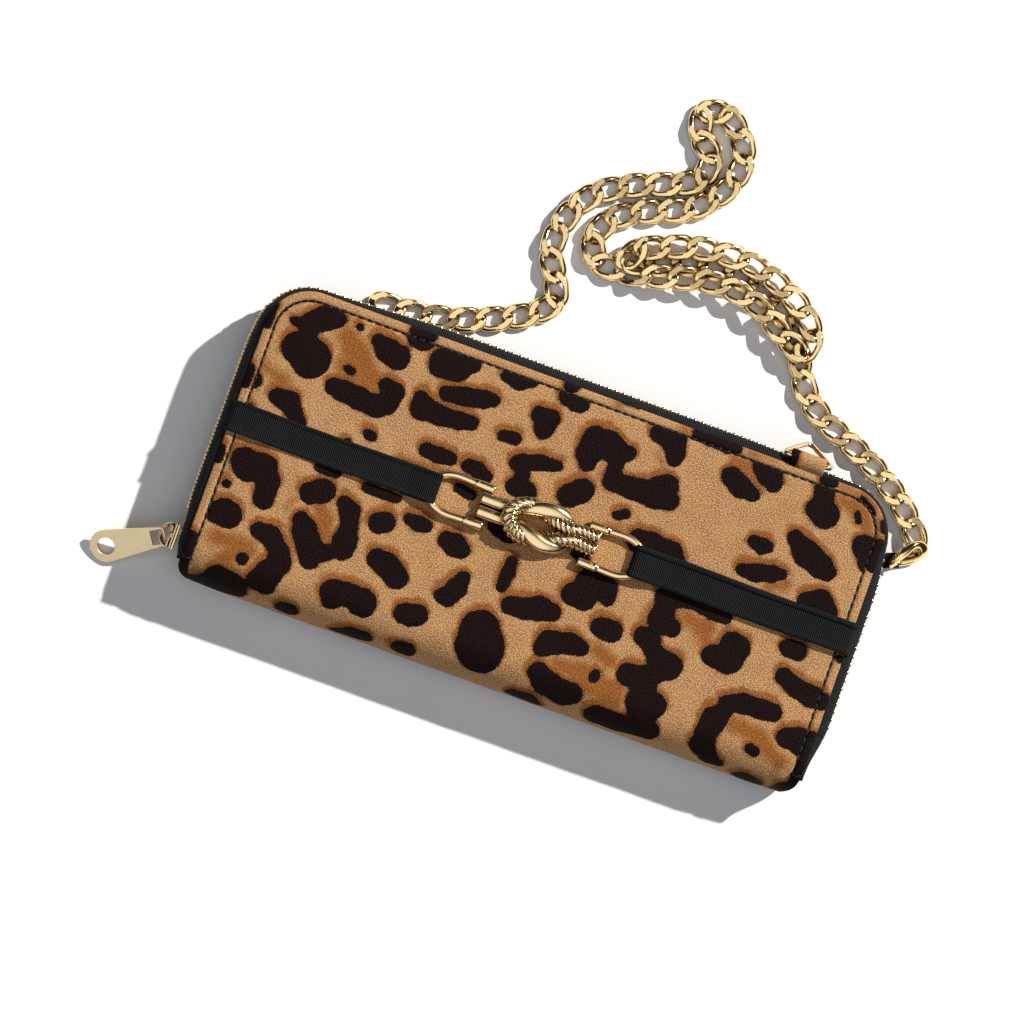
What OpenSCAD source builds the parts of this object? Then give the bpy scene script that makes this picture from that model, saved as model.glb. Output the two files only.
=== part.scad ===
// Zip-around long wallet with a loose curb chain, a strap with a knot ornament,
// a clip ring and a coin pocket. It lies on its back face: X runs along the
// length, Y from the spine to the zipped top edge and Z up. Millimetres.

/* [Covers] */
// Length of both covers, along X
cover_length = 201; // [185:1:215]
// Width over the spine and the flat cover, along Y
cover_width = 95.5; // [90:0.5:104]
// Thickness of the closed wallet
body_thick = 22; // [22:0.5:25]
// Radius of the two corners at the zipped top edge
corner_r = 14; // [12:0.5:18]
// Thickness of the printed outer skin
skin_t = 0.8; // [0.6:0.1:1.0]
// Thickness of the stiffening board
board_t = 1.2; // [1.0:0.1:1.3]
// Thickness of the lining cloth
lining_t = 0.6; // [0.5:0.1:0.7]
// Width of the zip tape that is sewn in under the cover's edge
seam_w = 4.4; // [4:0.1:5]

/* [Main zip] */
// How far the outer side of the teeth stands out from the cover's edge
teeth_reach = 3.6; // [3.5:0.1:4.6]
// Distance between neighbouring teeth of one row
tooth_pitch = 2.6; // [2.4:0.1:3.0]
// Length of one tooth along the zip
tooth_w = 1.3; // [1.1:0.1:1.5]
// Gap between the two rows of teeth
row_gap = 1.0; // [0.9:0.1:1.1]
// Length of the slider
slider_len = 8.2; // [7.5:0.1:9]

/* [Pull] */
// Radius of the bail's half round, at the middle of its wire
bail_r = 3.4; // [3.4:0.1:3.8]
// Radius of the bail's wire
bail_wire_r = 0.45; // [0.35:0.05:0.5]
// Distance from the pull's near bar to the middle of its round end
pull_len = 19.3; // [17:0.1:23]
// Radius of the pull's round end
pull_end_r = 5.2; // [4.8:0.1:5.6]
// Radius of the hole in the pull
pull_hole_r = 2.8; // [2.5:0.1:3.1]
// Thickness of the pull
pull_t = 0.8; // [0.6:0.1:0.9]

/* [Strap and ornament] */
// Width of the strap
strap_w = 9.6; // [8.5:0.1:9.6]
// Thickness of one layer of the strap
strap_t = 0.8; // [0.6:0.1:0.9]
// Radius of the shackles' rod
shackle_r = 0.9; // [0.8:0.05:0.95]
// Half the distance between the shackle's two arms
shackle_half = 5.9; // [5.9:0.1:6.5]
// Radius of the knot's smooth strand
smooth_r = 1.45; // [1.3:0.05:1.55]
// Radius of the knot's twisted strand
rope_r = 1.75; // [1.6:0.05:1.85]

/* [Clip ring and chain] */
// Width of the tab that holds the clip ring
ring_tab_w = 11; // [9:0.2:11.4]
// Radius of the clip ring's wire
ring_wire_r = 0.8; // [0.7:0.05:0.9]
// Distance from one chain link to the next
link_pitch = 8.3; // [8.1:0.1:8.6]
// Width over one chain link
link_w = 7.8; // [7.4:0.1:8.2]
// Radius of the chain links' wire
link_wire_r = 0.8; // [0.7:0.05:0.85]

/* [Inside] */
// Length of the card pockets and dividers
inner_length = 172; // [160:1:174]
// Thickness of one card pocket layer
pocket_t = 0.6; // [0.5:0.1:0.7]
// Thickness of each divider
divider_t = 1.0; // [0.8:0.1:1.1]
// Thickness of the coin pocket's walls
coin_wall_t = 0.8; // [0.6:0.1:0.9]
// Height of the coin pocket across its two walls
coin_h = 5.0; // [4.8:0.1:5.2]
// Length of the coin pocket
coin_length = 160; // [150:1:161]

/* [Hidden] */

$fn = 48;
eps = 0.01;
fit = 0.1;                                   // slack between pieces that nearly touch
free = 0.3;                                  // slack between pieces that move past each other
edge_x = cover_length / 2;                   // half length, to the cover's edge
edge_y = cover_width / 2;                    // top edge of the covers
mid_z = body_thick / 2;                      // plane where the two halves meet
spine_r = mid_z;                             // outer radius of the rounded spine
hinge_y = spine_r - edge_y;                  // axis that the front half opens about
wall_t = skin_t + board_t + lining_t;        // a whole cover
zip_limit_r = mid_z - wall_t;                 // what stays behind round the hinge axis
inner_x = inner_length / 2;
hinge_gap = 2.5;                             // inner leaves start this far from the hinge axis

// Zip section: d is the distance outside the cover's edge
tape_t = lining_t;
teeth_in = teeth_reach - 2.0;                // inner side of the teeth
tape_d = teeth_in + 0.4;                     // inner face of the tape where it holds the teeth
tooth_low = row_gap / 2;                     // tooth tip above the middle plane
tooth_top = tooth_low + 1.9;
slider_y = hinge_y;                          // middle of the slider when the zip is closed
tape_start_y = hinge_y - slider_len / 2 + 0.4;
front_teeth_y = hinge_y + zip_limit_r + 0.9; // first tooth that opens with the front half
plate_d = teeth_reach + 0.15;                // inner face of the slider's outer plate
plate_t = 0.8;
bail_d = plate_d + plate_t + 0.6;            // axis of the bail

// ---------- shared shapes ----------

// Outline of a cover, its edge set in by `inset`; the spine side stays straight
module cover_2d(inset = 0) {
    w = edge_x - inset;
    top = edge_y - inset;
    r = corner_r - inset;
    union() {
        translate([-w, hinge_y]) square([2 * w, top - r - hinge_y]);
        translate([r - w, hinge_y]) square([2 * (w - r), top - hinge_y]);
        for (side = [-1, 1]) translate([side * (w - r), top - r]) circle(r);
    }
}

// Turns a section drawn in (distance out, height) into a run along the right side
module right_run(y0, y1) {
    translate([edge_x, y1, 0]) rotate([90, 0, 0]) linear_extrude(y1 - y0) children();
}

// Sweeps a section along the left, top and right edges of a cover
module edge_sweep(y_left, y_right) {
    union() {
        right_run(y_right, edge_y - corner_r) children();
        mirror([1, 0, 0]) right_run(y_left, edge_y - corner_r) children();
        rotate([0, 0, 90]) translate([edge_y, edge_x - corner_r, 0]) rotate([90, 0, 0])
            linear_extrude(2 * (edge_x - corner_r)) children();
        for (side = [0, 1]) mirror([side, 0, 0])
            translate([edge_x - corner_r, edge_y - corner_r, 0])
                rotate_extrude(angle = 90) translate([corner_r, 0]) children();
    }
}

// Repeats a tooth section along the left, top and right edges of a cover
module edge_teeth(y_start) {
    side_n = floor((edge_y - corner_r - y_start) / tooth_pitch);
    top_n = floor(2 * (edge_x - corner_r) / tooth_pitch);
    arc = (corner_r + teeth_reach - 1) * PI / 2;
    arc_n = floor(arc / tooth_pitch);
    for (side = [0, 1]) mirror([side, 0, 0]) {
        for (i = [0 : side_n - 1])
            right_run(y_start + i * tooth_pitch, y_start + i * tooth_pitch + tooth_w) children();
        for (i = [0 : arc_n - 1])
            translate([edge_x - corner_r, edge_y - corner_r, 0])
                rotate([0, 0, (i + 0.5) * 90 / arc_n]) translate([corner_r, tooth_w / 2, 0])
                    rotate([90, 0, 0]) linear_extrude(tooth_w) children();
    }
    for (i = [0 : top_n - 1])
        translate([(i - (top_n - 1) / 2) * tooth_pitch, 0, 0]) rotate([0, 0, 90])
            translate([edge_y, tooth_w / 2, 0]) rotate([90, 0, 0]) linear_extrude(tooth_w) children();
}

// Section of the front half's tape: flat under the cover, then down to the teeth
module tape_2d() {
    top = body_thick - skin_t - board_t;
    polygon([[-seam_w, top], [0.2, top], [1.0, top - 0.7],
             [tape_d + tape_t, mid_z + tooth_top + 0.2], [tape_d + tape_t, mid_z + tooth_top - 0.8],
             [tape_d, mid_z + tooth_top - 0.8], [tape_d, mid_z + tooth_top + 0.1],
             [0.4, top - 1.2], [0, top - tape_t], [-seam_w, top - tape_t]]);
}

// Section of a tooth of the front half: a clasp round the tape's edge
module tooth_2d() {
    notch = [tape_d - fit, tape_d + tape_t + fit];
    low = mid_z + tooth_low;
    top = mid_z + tooth_top;
    polygon([[teeth_in, low], [teeth_reach, low], [teeth_reach, top], [notch[1], top],
             [notch[1], top - 0.9], [notch[0], top - 0.9], [notch[0], top], [teeth_in, top]]);
}

// Mirrors a shape of the front half onto the back half
module to_back() {
    translate([0, 0, body_thick]) mirror([0, 0, 1]) children();
}

// Space round the hinge axis, as a long rod
module hinge_rod(r) {
    translate([-edge_x - 20, hinge_y, mid_z]) rotate([0, 90, 0])
        cylinder(r = r, h = cover_length + 40, $fn = 96);
}

// ---------- covers ----------

// Printed skin with its edge turned in round the board
module skin() {
    difference() {
        translate([0, 0, body_thick - skin_t - board_t]) linear_extrude(skin_t + board_t) cover_2d();
        translate([0, 0, body_thick - skin_t - board_t - 1]) linear_extrude(board_t + 1)
            union() {
                cover_2d(skin_t);
                translate([skin_t - edge_x, hinge_y - 1]) square([cover_length - 2 * skin_t, 2]);
            }
    }
}

module board() {
    translate([0, 0, body_thick - skin_t - board_t]) linear_extrude(board_t) cover_2d(skin_t);
}

module lining() {
    translate([0, 0, body_thick - wall_t]) linear_extrude(lining_t) cover_2d(seam_w + fit);
}

// One layer of card pockets: two columns either side of a middle seam
module pocket(step) {
    depths = [for (share = [0.733, 0.649, 0.565]) cover_width * share];
    z = body_thick - wall_t - (step + 1) * pocket_t;
    for (side = [0, 1]) mirror([side, 0, 0])
        translate([0.8, hinge_y + hinge_gap, z])
            cube([inner_x - 3, depths[step], pocket_t]);
}

module front_skin() color("tan") skin();
module front_board() color("dimgray") board();
module front_lining() color("black") lining();
module front_pocket_1() color("black") pocket(0);
module front_pocket_2() color("black") pocket(1);
module front_pocket_3() color("black") pocket(2);
module back_skin() color("tan") to_back() skin();
module back_board() color("dimgray") to_back() board();
module back_lining() color("black") to_back() lining();
module back_pocket_1() color("black") to_back() pocket(0);
module back_pocket_2() color("black") to_back() pocket(1);
module back_pocket_3() color("black") to_back() pocket(2);

// Half tube round the hinge axis, from one cover to the other
module spine(r_out, r_in, length) {
    translate([-length / 2, hinge_y, mid_z]) rotate([90, 0, 90]) linear_extrude(length)
        difference() {
            circle(r_out, $fn = 96);
            circle(r_in, $fn = 96);
            translate([0, -r_out - 1]) square([r_out + 1, 2 * r_out + 2]);
        }
}

module spine_skin() color("tan") spine(spine_r, spine_r - skin_t, cover_length);
module spine_lining() color("black")
    spine(spine_r - skin_t, spine_r - skin_t - lining_t, cover_length - 2 * seam_w);

// Folded end wall that lets the wallet fan open, four pleats high
module gusset() {
    t = 0.5;
    low = wall_t + fit;
    rise = (body_thick - 2 * low) / 4;
    x0 = inner_x + 1.5;
    x1 = edge_x - seam_w - 1.5;
    xs = [x0, x1, x0, x1, x0];
    translate([0, hinge_y + 56, 0]) rotate([90, 0, 0]) linear_extrude(56 - hinge_gap)
        polygon(concat([for (i = [0 : 4]) [xs[i], low + i * rise]],
                       [for (i = [4 : -1 : 0]) [xs[i] + t * 2, low + i * rise]]));
}

module gusset_right() color("black") gusset();
module gusset_left() color("black") mirror([1, 0, 0]) gusset();

// ---------- main zip ----------

module zip_tape_front() color("black")
    difference() {
        edge_sweep(hinge_y, hinge_y) tape_2d();
        hinge_rod(zip_limit_r + free);
    }
module zip_tape_back() color("black") to_back() edge_sweep(tape_start_y, tape_start_y) tape_2d();
module zip_teeth_front() color("gold") edge_teeth(front_teeth_y) tooth_2d();
module zip_teeth_back() color("gold") to_back() edge_teeth(front_teeth_y) tooth_2d();

// Root end of the upper tape, inside the space that the front half turns round,
// with a rounded tongue that closes the end of the spine
module zip_end() {
    union() {
        intersection() {
            right_run(tape_start_y, hinge_y + zip_limit_r) tape_2d();
            hinge_rod(zip_limit_r);
        }
        intersection() {
            translate([edge_x - seam_w + fit, hinge_y - spine_r, 0])
                cube([seam_w + tape_d + tape_t - fit, spine_r + tape_start_y - hinge_y, body_thick]);
            hinge_rod(zip_limit_r);
        }
    }
}

module zip_end_right() color("black") zip_end();
module zip_end_left() color("black") mirror([1, 0, 0]) zip_end();

// Bottom stop at the zip's right end, clear of both rows of teeth
module zip_stop() color("gold")
    translate([edge_x + teeth_in, tape_start_y + fit, mid_z - 1.5]) cube([2.0, 3.2, 3]);

// Two plates joined by a post that runs between the rows, with a lug for the bail
module zip_slider() color("goldenrod") {
    post = row_gap - 2 * 0.2;
    half = 3.8;
    in_d = teeth_in - 1.1;
    lug_y = 0.9;
    lug_r = 0.9;
    translate([-edge_x, slider_y, mid_z]) mirror([1, 0, 0])
        difference() {
            union() {
                translate([plate_d, -slider_len / 2, -half]) cube([plate_t, slider_len, 2 * half]);
                translate([in_d, -slider_len / 2 + 0.5, -half + 1])
                    cube([0.8, slider_len - 1, 2 * half - 2]);
                translate([in_d + eps, slider_len / 2 - 3.2, -post / 2])
                    cube([plate_d - in_d, 2, post]);
                for (side = [-1, 1]) translate([tape_d + tape_t + free, -slider_len / 2, side * (half - 0.5) - 0.5])
                    cube([plate_d - tape_d - tape_t - free + eps, slider_len, 1]);
                translate([plate_d + plate_t - eps, -lug_y, -lug_r])
                    cube([bail_d - plate_d - plate_t + eps, 2 * lug_y, 2 * lug_r]);
                translate([bail_d, -lug_y, 0]) rotate([-90, 0, 0]) cylinder(r = lug_r, h = 2 * lug_y);
            }
            translate([bail_d, -lug_y - 1, 0]) rotate([-90, 0, 0])
                cylinder(r = bail_wire_r + 0.12, h = 2 * lug_y + 2);
        }
}

// Frame of the bail: x leads outwards and down, y back towards the spine
bail_droop = 35;
module bail_frame() {
    translate([-edge_x - bail_d, slider_y, mid_z]) rotate([0, bail_droop, 180]) children();
}

module zip_bail() color("goldenrod") bail_frame()
    union() {
        rotate([0, 0, -90]) rotate_extrude(angle = 180) translate([bail_r, 0])
            circle(bail_wire_r, $fn = 24);
        rotate([90, 0, 0]) cylinder(r = bail_wire_r, h = 2 * bail_r, center = true, $fn = 24);
        for (side = [-1, 1]) translate([0, side * bail_r, 0]) sphere(bail_wire_r, $fn = 24);
    }

// Frame of the pull: x along it, hooked through the bail and rolled to clear its wire
pull_at = [1.8, 0.75, 0];
pull_turn = [-18, 21, 209];                  // roll, droop and yaw
module pull_frame() {
    translate([-edge_x - bail_d, slider_y, mid_z]) {
        translate([-pull_at[0] * cos(bail_droop), -pull_at[1], -pull_at[0] * sin(bail_droop)])
            rotate(pull_turn) children();
    }
}

pull_near = 3;                               // half the pull's width at its near bar
pull_taper = asin((pull_end_r - pull_near) / (pull_len + 0.35));
module zip_pull() color("gold") pull_frame()
    difference() {
        translate([0, 0, -pull_t / 2]) linear_extrude(pull_t)
            polygon(concat([[-0.35, pull_near], [-0.35, -pull_near]],
                [for (i = [-20 : 20]) let (a = i / 20 * (90 + pull_taper))
                    [pull_len + pull_end_r * cos(a), pull_end_r * sin(a)]]));
        translate([0.35, 0.7 - pull_near, -pull_t]) cube([4.05, 2 * pull_near - 1.4, 2 * pull_t]);
        translate([pull_len, 0, -pull_t]) cylinder(r = pull_hole_r, h = 2 * pull_t);
    }

// ---------- strap and ornament ----------

strap_y = 3.2;                               // middle of the strap
bar_z = body_thick + strap_t + shackle_r + fit; // middle of the shackles' rods
strap_end_left = -35.1;                      // crossbar that the left strap folds round
strap_end_right = 30.7;
arm_tip = 17.4;                              // from the crossbar to the arms' tips

// Side view of a strap: two layers, opening to fold round a shackle's crossbar
function half_turn(r) = [for (i = [0 : 16]) [r * sin(i * 180 / 16), bar_z - r * cos(i * 180 / 16)]];
module strap_2d(length) {
    r = shackle_r + fit;
    difference() {
        polygon(concat([[-length, body_thick]], half_turn(r + strap_t),
                       [[-11.5, body_thick + 2 * strap_t], [-length, body_thick + 2 * strap_t]]));
        polygon(concat([[-10.4, body_thick + strap_t]], half_turn(r)));
    }
}

module strap(length) {
    translate([0, strap_y + strap_w / 2, 0]) rotate([90, 0, 0]) linear_extrude(strap_w)
        strap_2d(length);
}

module strap_left() color("black") translate([strap_end_left, 0, 0])
    strap(edge_x - 0.5 + strap_end_left);
module strap_right() color("black") translate([strap_end_right, 0, 0]) mirror([1, 0, 0])
    strap(edge_x - 0.5 - strap_end_right);

// U of round rod with thicker tips; the crossbar lies on Y and the arms lead along +X
module shackle() {
    bend = shackle_half - strap_w / 2 - fit; // the crossbar stays straight inside the strap
    translate([0, strap_y, bar_z]) union() {
        rotate([90, 0, 0]) cylinder(r = shackle_r, h = 2 * (shackle_half - bend), center = true);
        for (side = [-1, 1]) {
            translate([bend, side * (shackle_half - bend), 0]) rotate([0, 0, side > 0 ? 90 : 180])
                rotate_extrude(angle = 90) translate([bend, 0]) circle(shackle_r);
            translate([bend, side * shackle_half, 0]) rotate([0, 90, 0])
                cylinder(r = shackle_r, h = arm_tip - bend - 5);
            translate([arm_tip - 6, side * shackle_half, 0]) rotate([0, 90, 0])
                cylinder(r = shackle_r + 0.3, h = 6);
        }
    }
}

module shackle_left() color("gold") translate([strap_end_left, 0, 0]) shackle();
module shackle_right() color("gold") translate([strap_end_right, 0, 0]) mirror([1, 0, 0]) shackle();

// Cross pin through the tips of a shackle's arms
module shackle_pin(x) {
    translate([x, strap_y, bar_z]) rotate([90, 0, 0])
        cylinder(r = 0.6, h = 2 * shackle_half, center = true);
}

module shackle_pin_left() color("gold") shackle_pin(strap_end_left + arm_tip - 1.6);
module shackle_pin_right() color("gold") shackle_pin(strap_end_right - arm_tip + 1.6);

// A smooth curve through chosen points: four samples between each pair
function curve_at(p, i, t) =
    let (n = len(p), a = p[max(i - 1, 0)], b = p[i], c = p[min(i + 1, n - 1)], d = p[min(i + 2, n - 1)])
    0.5 * (2 * b + t * (c - a) + t * t * (2 * a - 5 * b + 4 * c - d) + t * t * t * (3 * b - a - 3 * c + d));
function curve(p) = [for (i = [0 : len(p) - 2], k = [0 : 3]) curve_at(p, i, k / 4), p[len(p) - 1]];
function unit(v) = v / norm(v);

// A round strand along a curve, closed at both ends
module strand(p, r, sides = 8) {
    c = curve(p);
    n = len(c);
    rings = [for (i = [0 : n - 1])
        let (t = unit(c[min(i + 1, n - 1)] - c[max(i - 1, 0)]),
             u = unit(cross(t, [0, 0, 1])), w = cross(t, u))
        for (k = [0 : sides - 1]) c[i] + r * (cos(k * 360 / sides) * u + sin(k * 360 / sides) * w)];
    polyhedron(rings, concat(
        [[for (k = [0 : sides - 1]) k]],
        [for (i = [0 : n - 2], k = [0 : sides - 1])
            let (a = i * sides + k, b = i * sides + (k + 1) % sides) [b, a, a + sides, b + sides]],
        [[for (k = [sides - 1 : -1 : 0]) (n - 1) * sides + k]]));
}

knot_low = body_thick + rope_r + fit;        // a strand that lies on the cover
knot_high = knot_low + 2.9;                  // a strand that passes over another
knot_at = [-0.4, strap_y - 3, 0];            // the knot's routes were chosen round y = 3
// Smooth strand: two ends at the left, its round end at the right
smooth_route = [
    [-21, 4.7, bar_z], [-15.5, 4.7, bar_z], [-10.5, 5.0, knot_low], [-6, 6.8, knot_low + 1.6],
    [-1, 8.6, knot_high], [4.5, 7.9, knot_low + 1.8], [8.2, 4.8, knot_low], [8.2, 1.4, knot_low],
    [5, -1.6, knot_low + 1.8], [0, -1.6, knot_high], [-5.5, 0.4, knot_low + 1.6],
    [-10.5, 1.3, knot_low], [-15.5, 1.3, bar_z], [-21, 1.3, bar_z]
];
// Twisted strand: two ends at the right, its round end at the left
rope_route = [
    [17.8, 4.9, bar_z], [13, 4.9, knot_low + 0.8], [8.2, 5.0, knot_high], [3.5, 6.2, knot_low + 1.2],
    [-1.5, 7.6, knot_low], [-6.3, 8.2, knot_low + 0.9], [-9.7, 6.2, knot_high - 0.3],
    [-10.4, 3.1, knot_high], [-9.6, 0.2, knot_high - 0.3], [-6, -1.7, knot_low + 0.9],
    [-1, -1.0, knot_low], [3.5, 0.2, knot_low + 1.2], [8.2, 1.2, knot_high],
    [13, 1.2, knot_low + 0.8], [17.8, 1.2, bar_z]
];

module knot_smooth() color("gold") translate(knot_at) strand(smooth_route, smooth_r, 10);
module knot_rope() color("goldenrod") translate(knot_at) strand(rope_route, rope_r, 10);

// ---------- clip ring ----------

ring_x = 70.1;                               // middle of the tab along the top edge
ring_y = edge_y + 2.75;                      // bar that the tab folds round
ring_z = body_thick - 0.6;
ring_half = ring_tab_w / 2 + 1.9;            // half the bar, to the middle of the side rods
ring_h = 11;                                 // from the bar to the top corner
ring_droop = 56;
tab_t = 0.7;

// Strip that comes out of the cover's edge and folds round the ring's bar
function tab_arc(r, from, to) = [for (i = [0 : 14]) let (a = from + (to - from) * i / 14)
    [ring_y + r * cos(a), ring_z + r * sin(a)]];
module ring_tab() color("tan")
    translate([ring_x - ring_tab_w / 2, 0, 0]) rotate([90, 0, 90]) linear_extrude(ring_tab_w)
        polygon(concat([[edge_y, body_thick - 0.2 - tab_t], [edge_y, body_thick - 0.2]],
                       tab_arc(ring_wire_r + 0.2 + tab_t, 115, -110),
                       tab_arc(ring_wire_r + 0.2, -110, 143)));

// Triangle of round wire with bent corners; its bar lies along X
module clip_ring() color("gold") {
    bend = 1.3;
    side = atan2(ring_h, ring_half + 0.8);   // slope of the two side rods
    low = ring_half + 0.8 - bend / tan(side / 2); // middles of the three bends
    top = ring_h - bend / cos(side);
    rod = norm([low, top - bend]);
    translate([ring_x, ring_y, ring_z]) rotate([-ring_droop, 0, 0]) union() {
        rotate([0, 90, 0]) cylinder(r = ring_wire_r, h = 2 * low + 0.3, center = true, $fn = 24);
        translate([0, top, 0]) rotate([0, 0, 90 - side]) rotate_extrude(angle = 2 * side)
            translate([bend, 0]) circle(ring_wire_r + 0.02, $fn = 24);
        for (half = [0, 1]) mirror([half, 0, 0]) {
            translate([low, bend, 0]) rotate([0, 0, -90]) rotate_extrude(angle = 180 - side)
                translate([bend, 0]) circle(ring_wire_r + 0.02, $fn = 24);
            translate([low, bend, 0]) rotate([0, 0, 90 - side]) translate([bend, -0.15, 0])
                rotate([-90, 0, 0]) cylinder(r = ring_wire_r, h = rod + 0.3, $fn = 24);
        }
    }
}

// ---------- inside leaves ----------

// A flat leaf between the pleats, up to the cover's edge less the zip's inner side
leaf_depth = edge_y - hinge_y - hinge_gap - 9;
leaf_out = 4.8;                              // outer face from the middle plane
module leaf(z) {
    translate([-inner_x, hinge_y + hinge_gap, z]) cube([inner_length, leaf_depth, divider_t]);
}

module divider_back() color("black") leaf(mid_z - leaf_out);
module divider_front() color("black") leaf(mid_z + leaf_out - divider_t);

coin_y0 = hinge_y + hinge_gap + 2;
coin_y1 = edge_y - 15;
coin_zip_y = coin_y1 + 1.2;                  // inner side of the coin zip's teeth
coin_tape_z = coin_h / 2 - coin_wall_t;      // inner face of a wall above the middle
module coin_wall() {
    translate([-coin_length / 2, coin_y0, mid_z + coin_tape_z])
        cube([coin_length, coin_y1 - coin_y0, coin_wall_t]);
}

// Strip along three sides that holds the two walls apart
module coin_edge() color("black")
    translate([0, 0, mid_z - coin_tape_z]) linear_extrude(2 * coin_tape_z)
        difference() {
            translate([-coin_length / 2, coin_y0]) square([coin_length, coin_y1 - coin_y0 - 4]);
            translate([1.2 - coin_length / 2, coin_y0 + 1.2])
                square([coin_length - 2.4, coin_y1 - coin_y0]);
        }

coin_strip_t = 0.35;
module coin_tape() {
    translate([2 - coin_length / 2, coin_y1 - 2.5, mid_z + coin_tape_z - coin_strip_t])
        cube([coin_length - 4, 2.5 + 1.2 + 1.5, coin_strip_t]);
}
module coin_teeth() {
    n = floor((coin_length - 8) / 2);
    for (i = [0 : n - 1])
        translate([(i - (n - 1) / 2) * 2 - 0.5, coin_zip_y, mid_z + 0.4])
            cube([1, 1.5, coin_tape_z - coin_strip_t - 0.4]);
}

module coin_wall_front() color("black") coin_wall();
module coin_wall_back() color("black") to_back() coin_wall();
module coin_tape_front() color("black") coin_tape();
module coin_tape_back() color("black") to_back() coin_tape();
module coin_teeth_front() color("gold") coin_teeth();
module coin_teeth_back() color("gold") to_back() coin_teeth();

coin_slider_x = 8 - coin_length / 2;
coin_pin_y = coin_zip_y + 1.5 + 0.4 + 0.7 + 1.2;
module coin_slider() color("goldenrod")
    translate([coin_slider_x, 0, mid_z]) union() {
        translate([-3, coin_zip_y - 1.0, -1.0]) cube([6, 0.6, 2]);
        translate([1, coin_zip_y - 0.5, -0.2]) cube([1.6, 2.5, 0.4]);
        translate([-3, coin_zip_y + 1.9, -1.5]) cube([6, 0.7, 3]);
        for (side = [-1, 1]) translate([0, coin_zip_y + 2.5, side * 1.15 - 0.35]) {
            translate([-0.9, 0, 0]) cube([1.8, coin_pin_y - coin_zip_y - 2.5, 0.7]);
            translate([0, coin_pin_y - coin_zip_y - 2.5, 0]) cylinder(r = 0.9, h = 0.7);
        }
        translate([0, coin_pin_y, -1.2]) cylinder(r = 0.4, h = 2.4);
    }

module coin_pull() color("goldenrod")
    translate([coin_slider_x, coin_pin_y, mid_z - 0.4]) linear_extrude(0.8)
        difference() {
            union() {
                circle(0.9);
                translate([0, -0.9]) square([8, 1.8]);
                translate([8, 0]) circle(1.6);
            }
            circle(0.55);
            translate([8, 0]) circle(0.8);
        }

// ---------- chain ----------

// Small cloth tabs that the chain's two ends are fixed to
chain_tab_x = -70;
module chain_tab_left() color("black")
    translate([chain_tab_x - 4, edge_y, 0.3]) difference() {
        cube([8, 6.5, 1.2]);
        translate([2, 2.0, -1]) cube([4, 2.8, 4]);
    }

end_link_len = 11.5;                         // the upright link that joins chain and right tab
end_link_w = 7;
end_link_r = 0.7;
end_link_at = [edge_x + 10.2, 34.9, end_link_w / 2 + 0.1];
end_link_turn = 45.6;
chain_tab_y = 31.3;
chain_tab_z = end_link_at[2] - 0.9;
module chain_tab_right() color("black")
    translate([edge_x + 1.4, chain_tab_y - 3.2, chain_tab_z]) difference() {
        cube([7.2, 6.4, 1.2]);
        translate([4.4, 1.2, -1]) cube([1.8, 4, 4]);
    }

// Stadium of round wire lying in XY, its length along X
module link(length, width, wire_r) {
    r = width / 2 - wire_r;
    half = length / 2 - width / 2;
    union() for (side = [0, 1]) mirror([side, 0, 0]) {
        translate([half, 0, 0]) rotate([0, 0, -90]) rotate_extrude(angle = 180)
            translate([r, 0]) circle(wire_r, $fn = 16);
        for (edge = [-1, 1]) translate([0, edge * r, 0]) rotate([0, 90, 0])
            cylinder(r = wire_r, h = half, $fn = 16);
    }
}

lie = link_w / 2 * 0.62 + link_wire_r * 0.5 + 0.15; // height of a link's middle on the table
pile = lie + 2.4;                            // height where it crosses its own return
// Chain from the left tab up to the turn at the far end of its doubled stretch
chain_route = [
    [-71, 53, lie], [-63.5, 53.5, lie], [-56, 54, lie], [-48.5, 55.5, lie], [-40.5, 58, lie],
    [-32.5, 61.5, lie], [-25, 65, lie], [-19, 70, lie], [-17.5, 76, lie], [-22.5, 81, lie],
    [-25.5, 87.5, lie], [-24, 98.5, lie], [-20, 106.5, lie], [-12.5, 112, lie], [-5, 116, lie],
    [3.5, 119, lie], [11, 122.5, lie], [14, 127.5, lie], [12, 132.5, lie], [7, 136, lie],
    [4, 141.5, lie], [7.5, 146.5, lie], [14, 145.5, lie], [19, 141, lie], [22.5, 135, lie],
    [22, 127.5, lie], [18.5, 120.5, lie], [12.5, 114, lie], [5, 111, lie], [-3, 107.5, lie],
    [-9.5, 104, lie], [-14, 97, lie], [-14, 91.5, lie], [-9.5, 87.5, lie], [-2.5, 88, lie],
    [6.5, 89.5, pile], [15, 92, pile], [24, 94.5, pile], [34, 94.5, pile], [43, 92, pile],
    [50.5, 87.5, pile], [57, 82.5, pile], [62, 84.5, pile], [59.5, 92, pile],
    [52.5, 97.5, pile], [44, 101.5, pile], [35.5, 104, pile], [26.5, 104, pile],
    [17.5, 103, pile], [9, 100, pile], [1, 96.5, pile]
];
// Rest of the chain: back under the doubled stretch and round to the right tab
return_route = [
    [-4, 93.5, pile], [0.5, 90.5, lie + 1.2], [8.5, 94, lie], [17, 97.5, lie], [26, 99, lie],
    [35, 99, lie], [43.5, 96.5, lie], [51, 92, lie], [57, 86, lie], [60.5, 79.5, lie],
    [63.5, 73.5, lie], [69, 68.5, lie], [75, 65, lie], [82, 62.5, lie], [90, 59, lie],
    [98, 54.5, lie], [105, 49.5, lie], [109.3, 45.2, lie], [112.4, 41.8, lie], [114.4, 38.9, lie]
];

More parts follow.
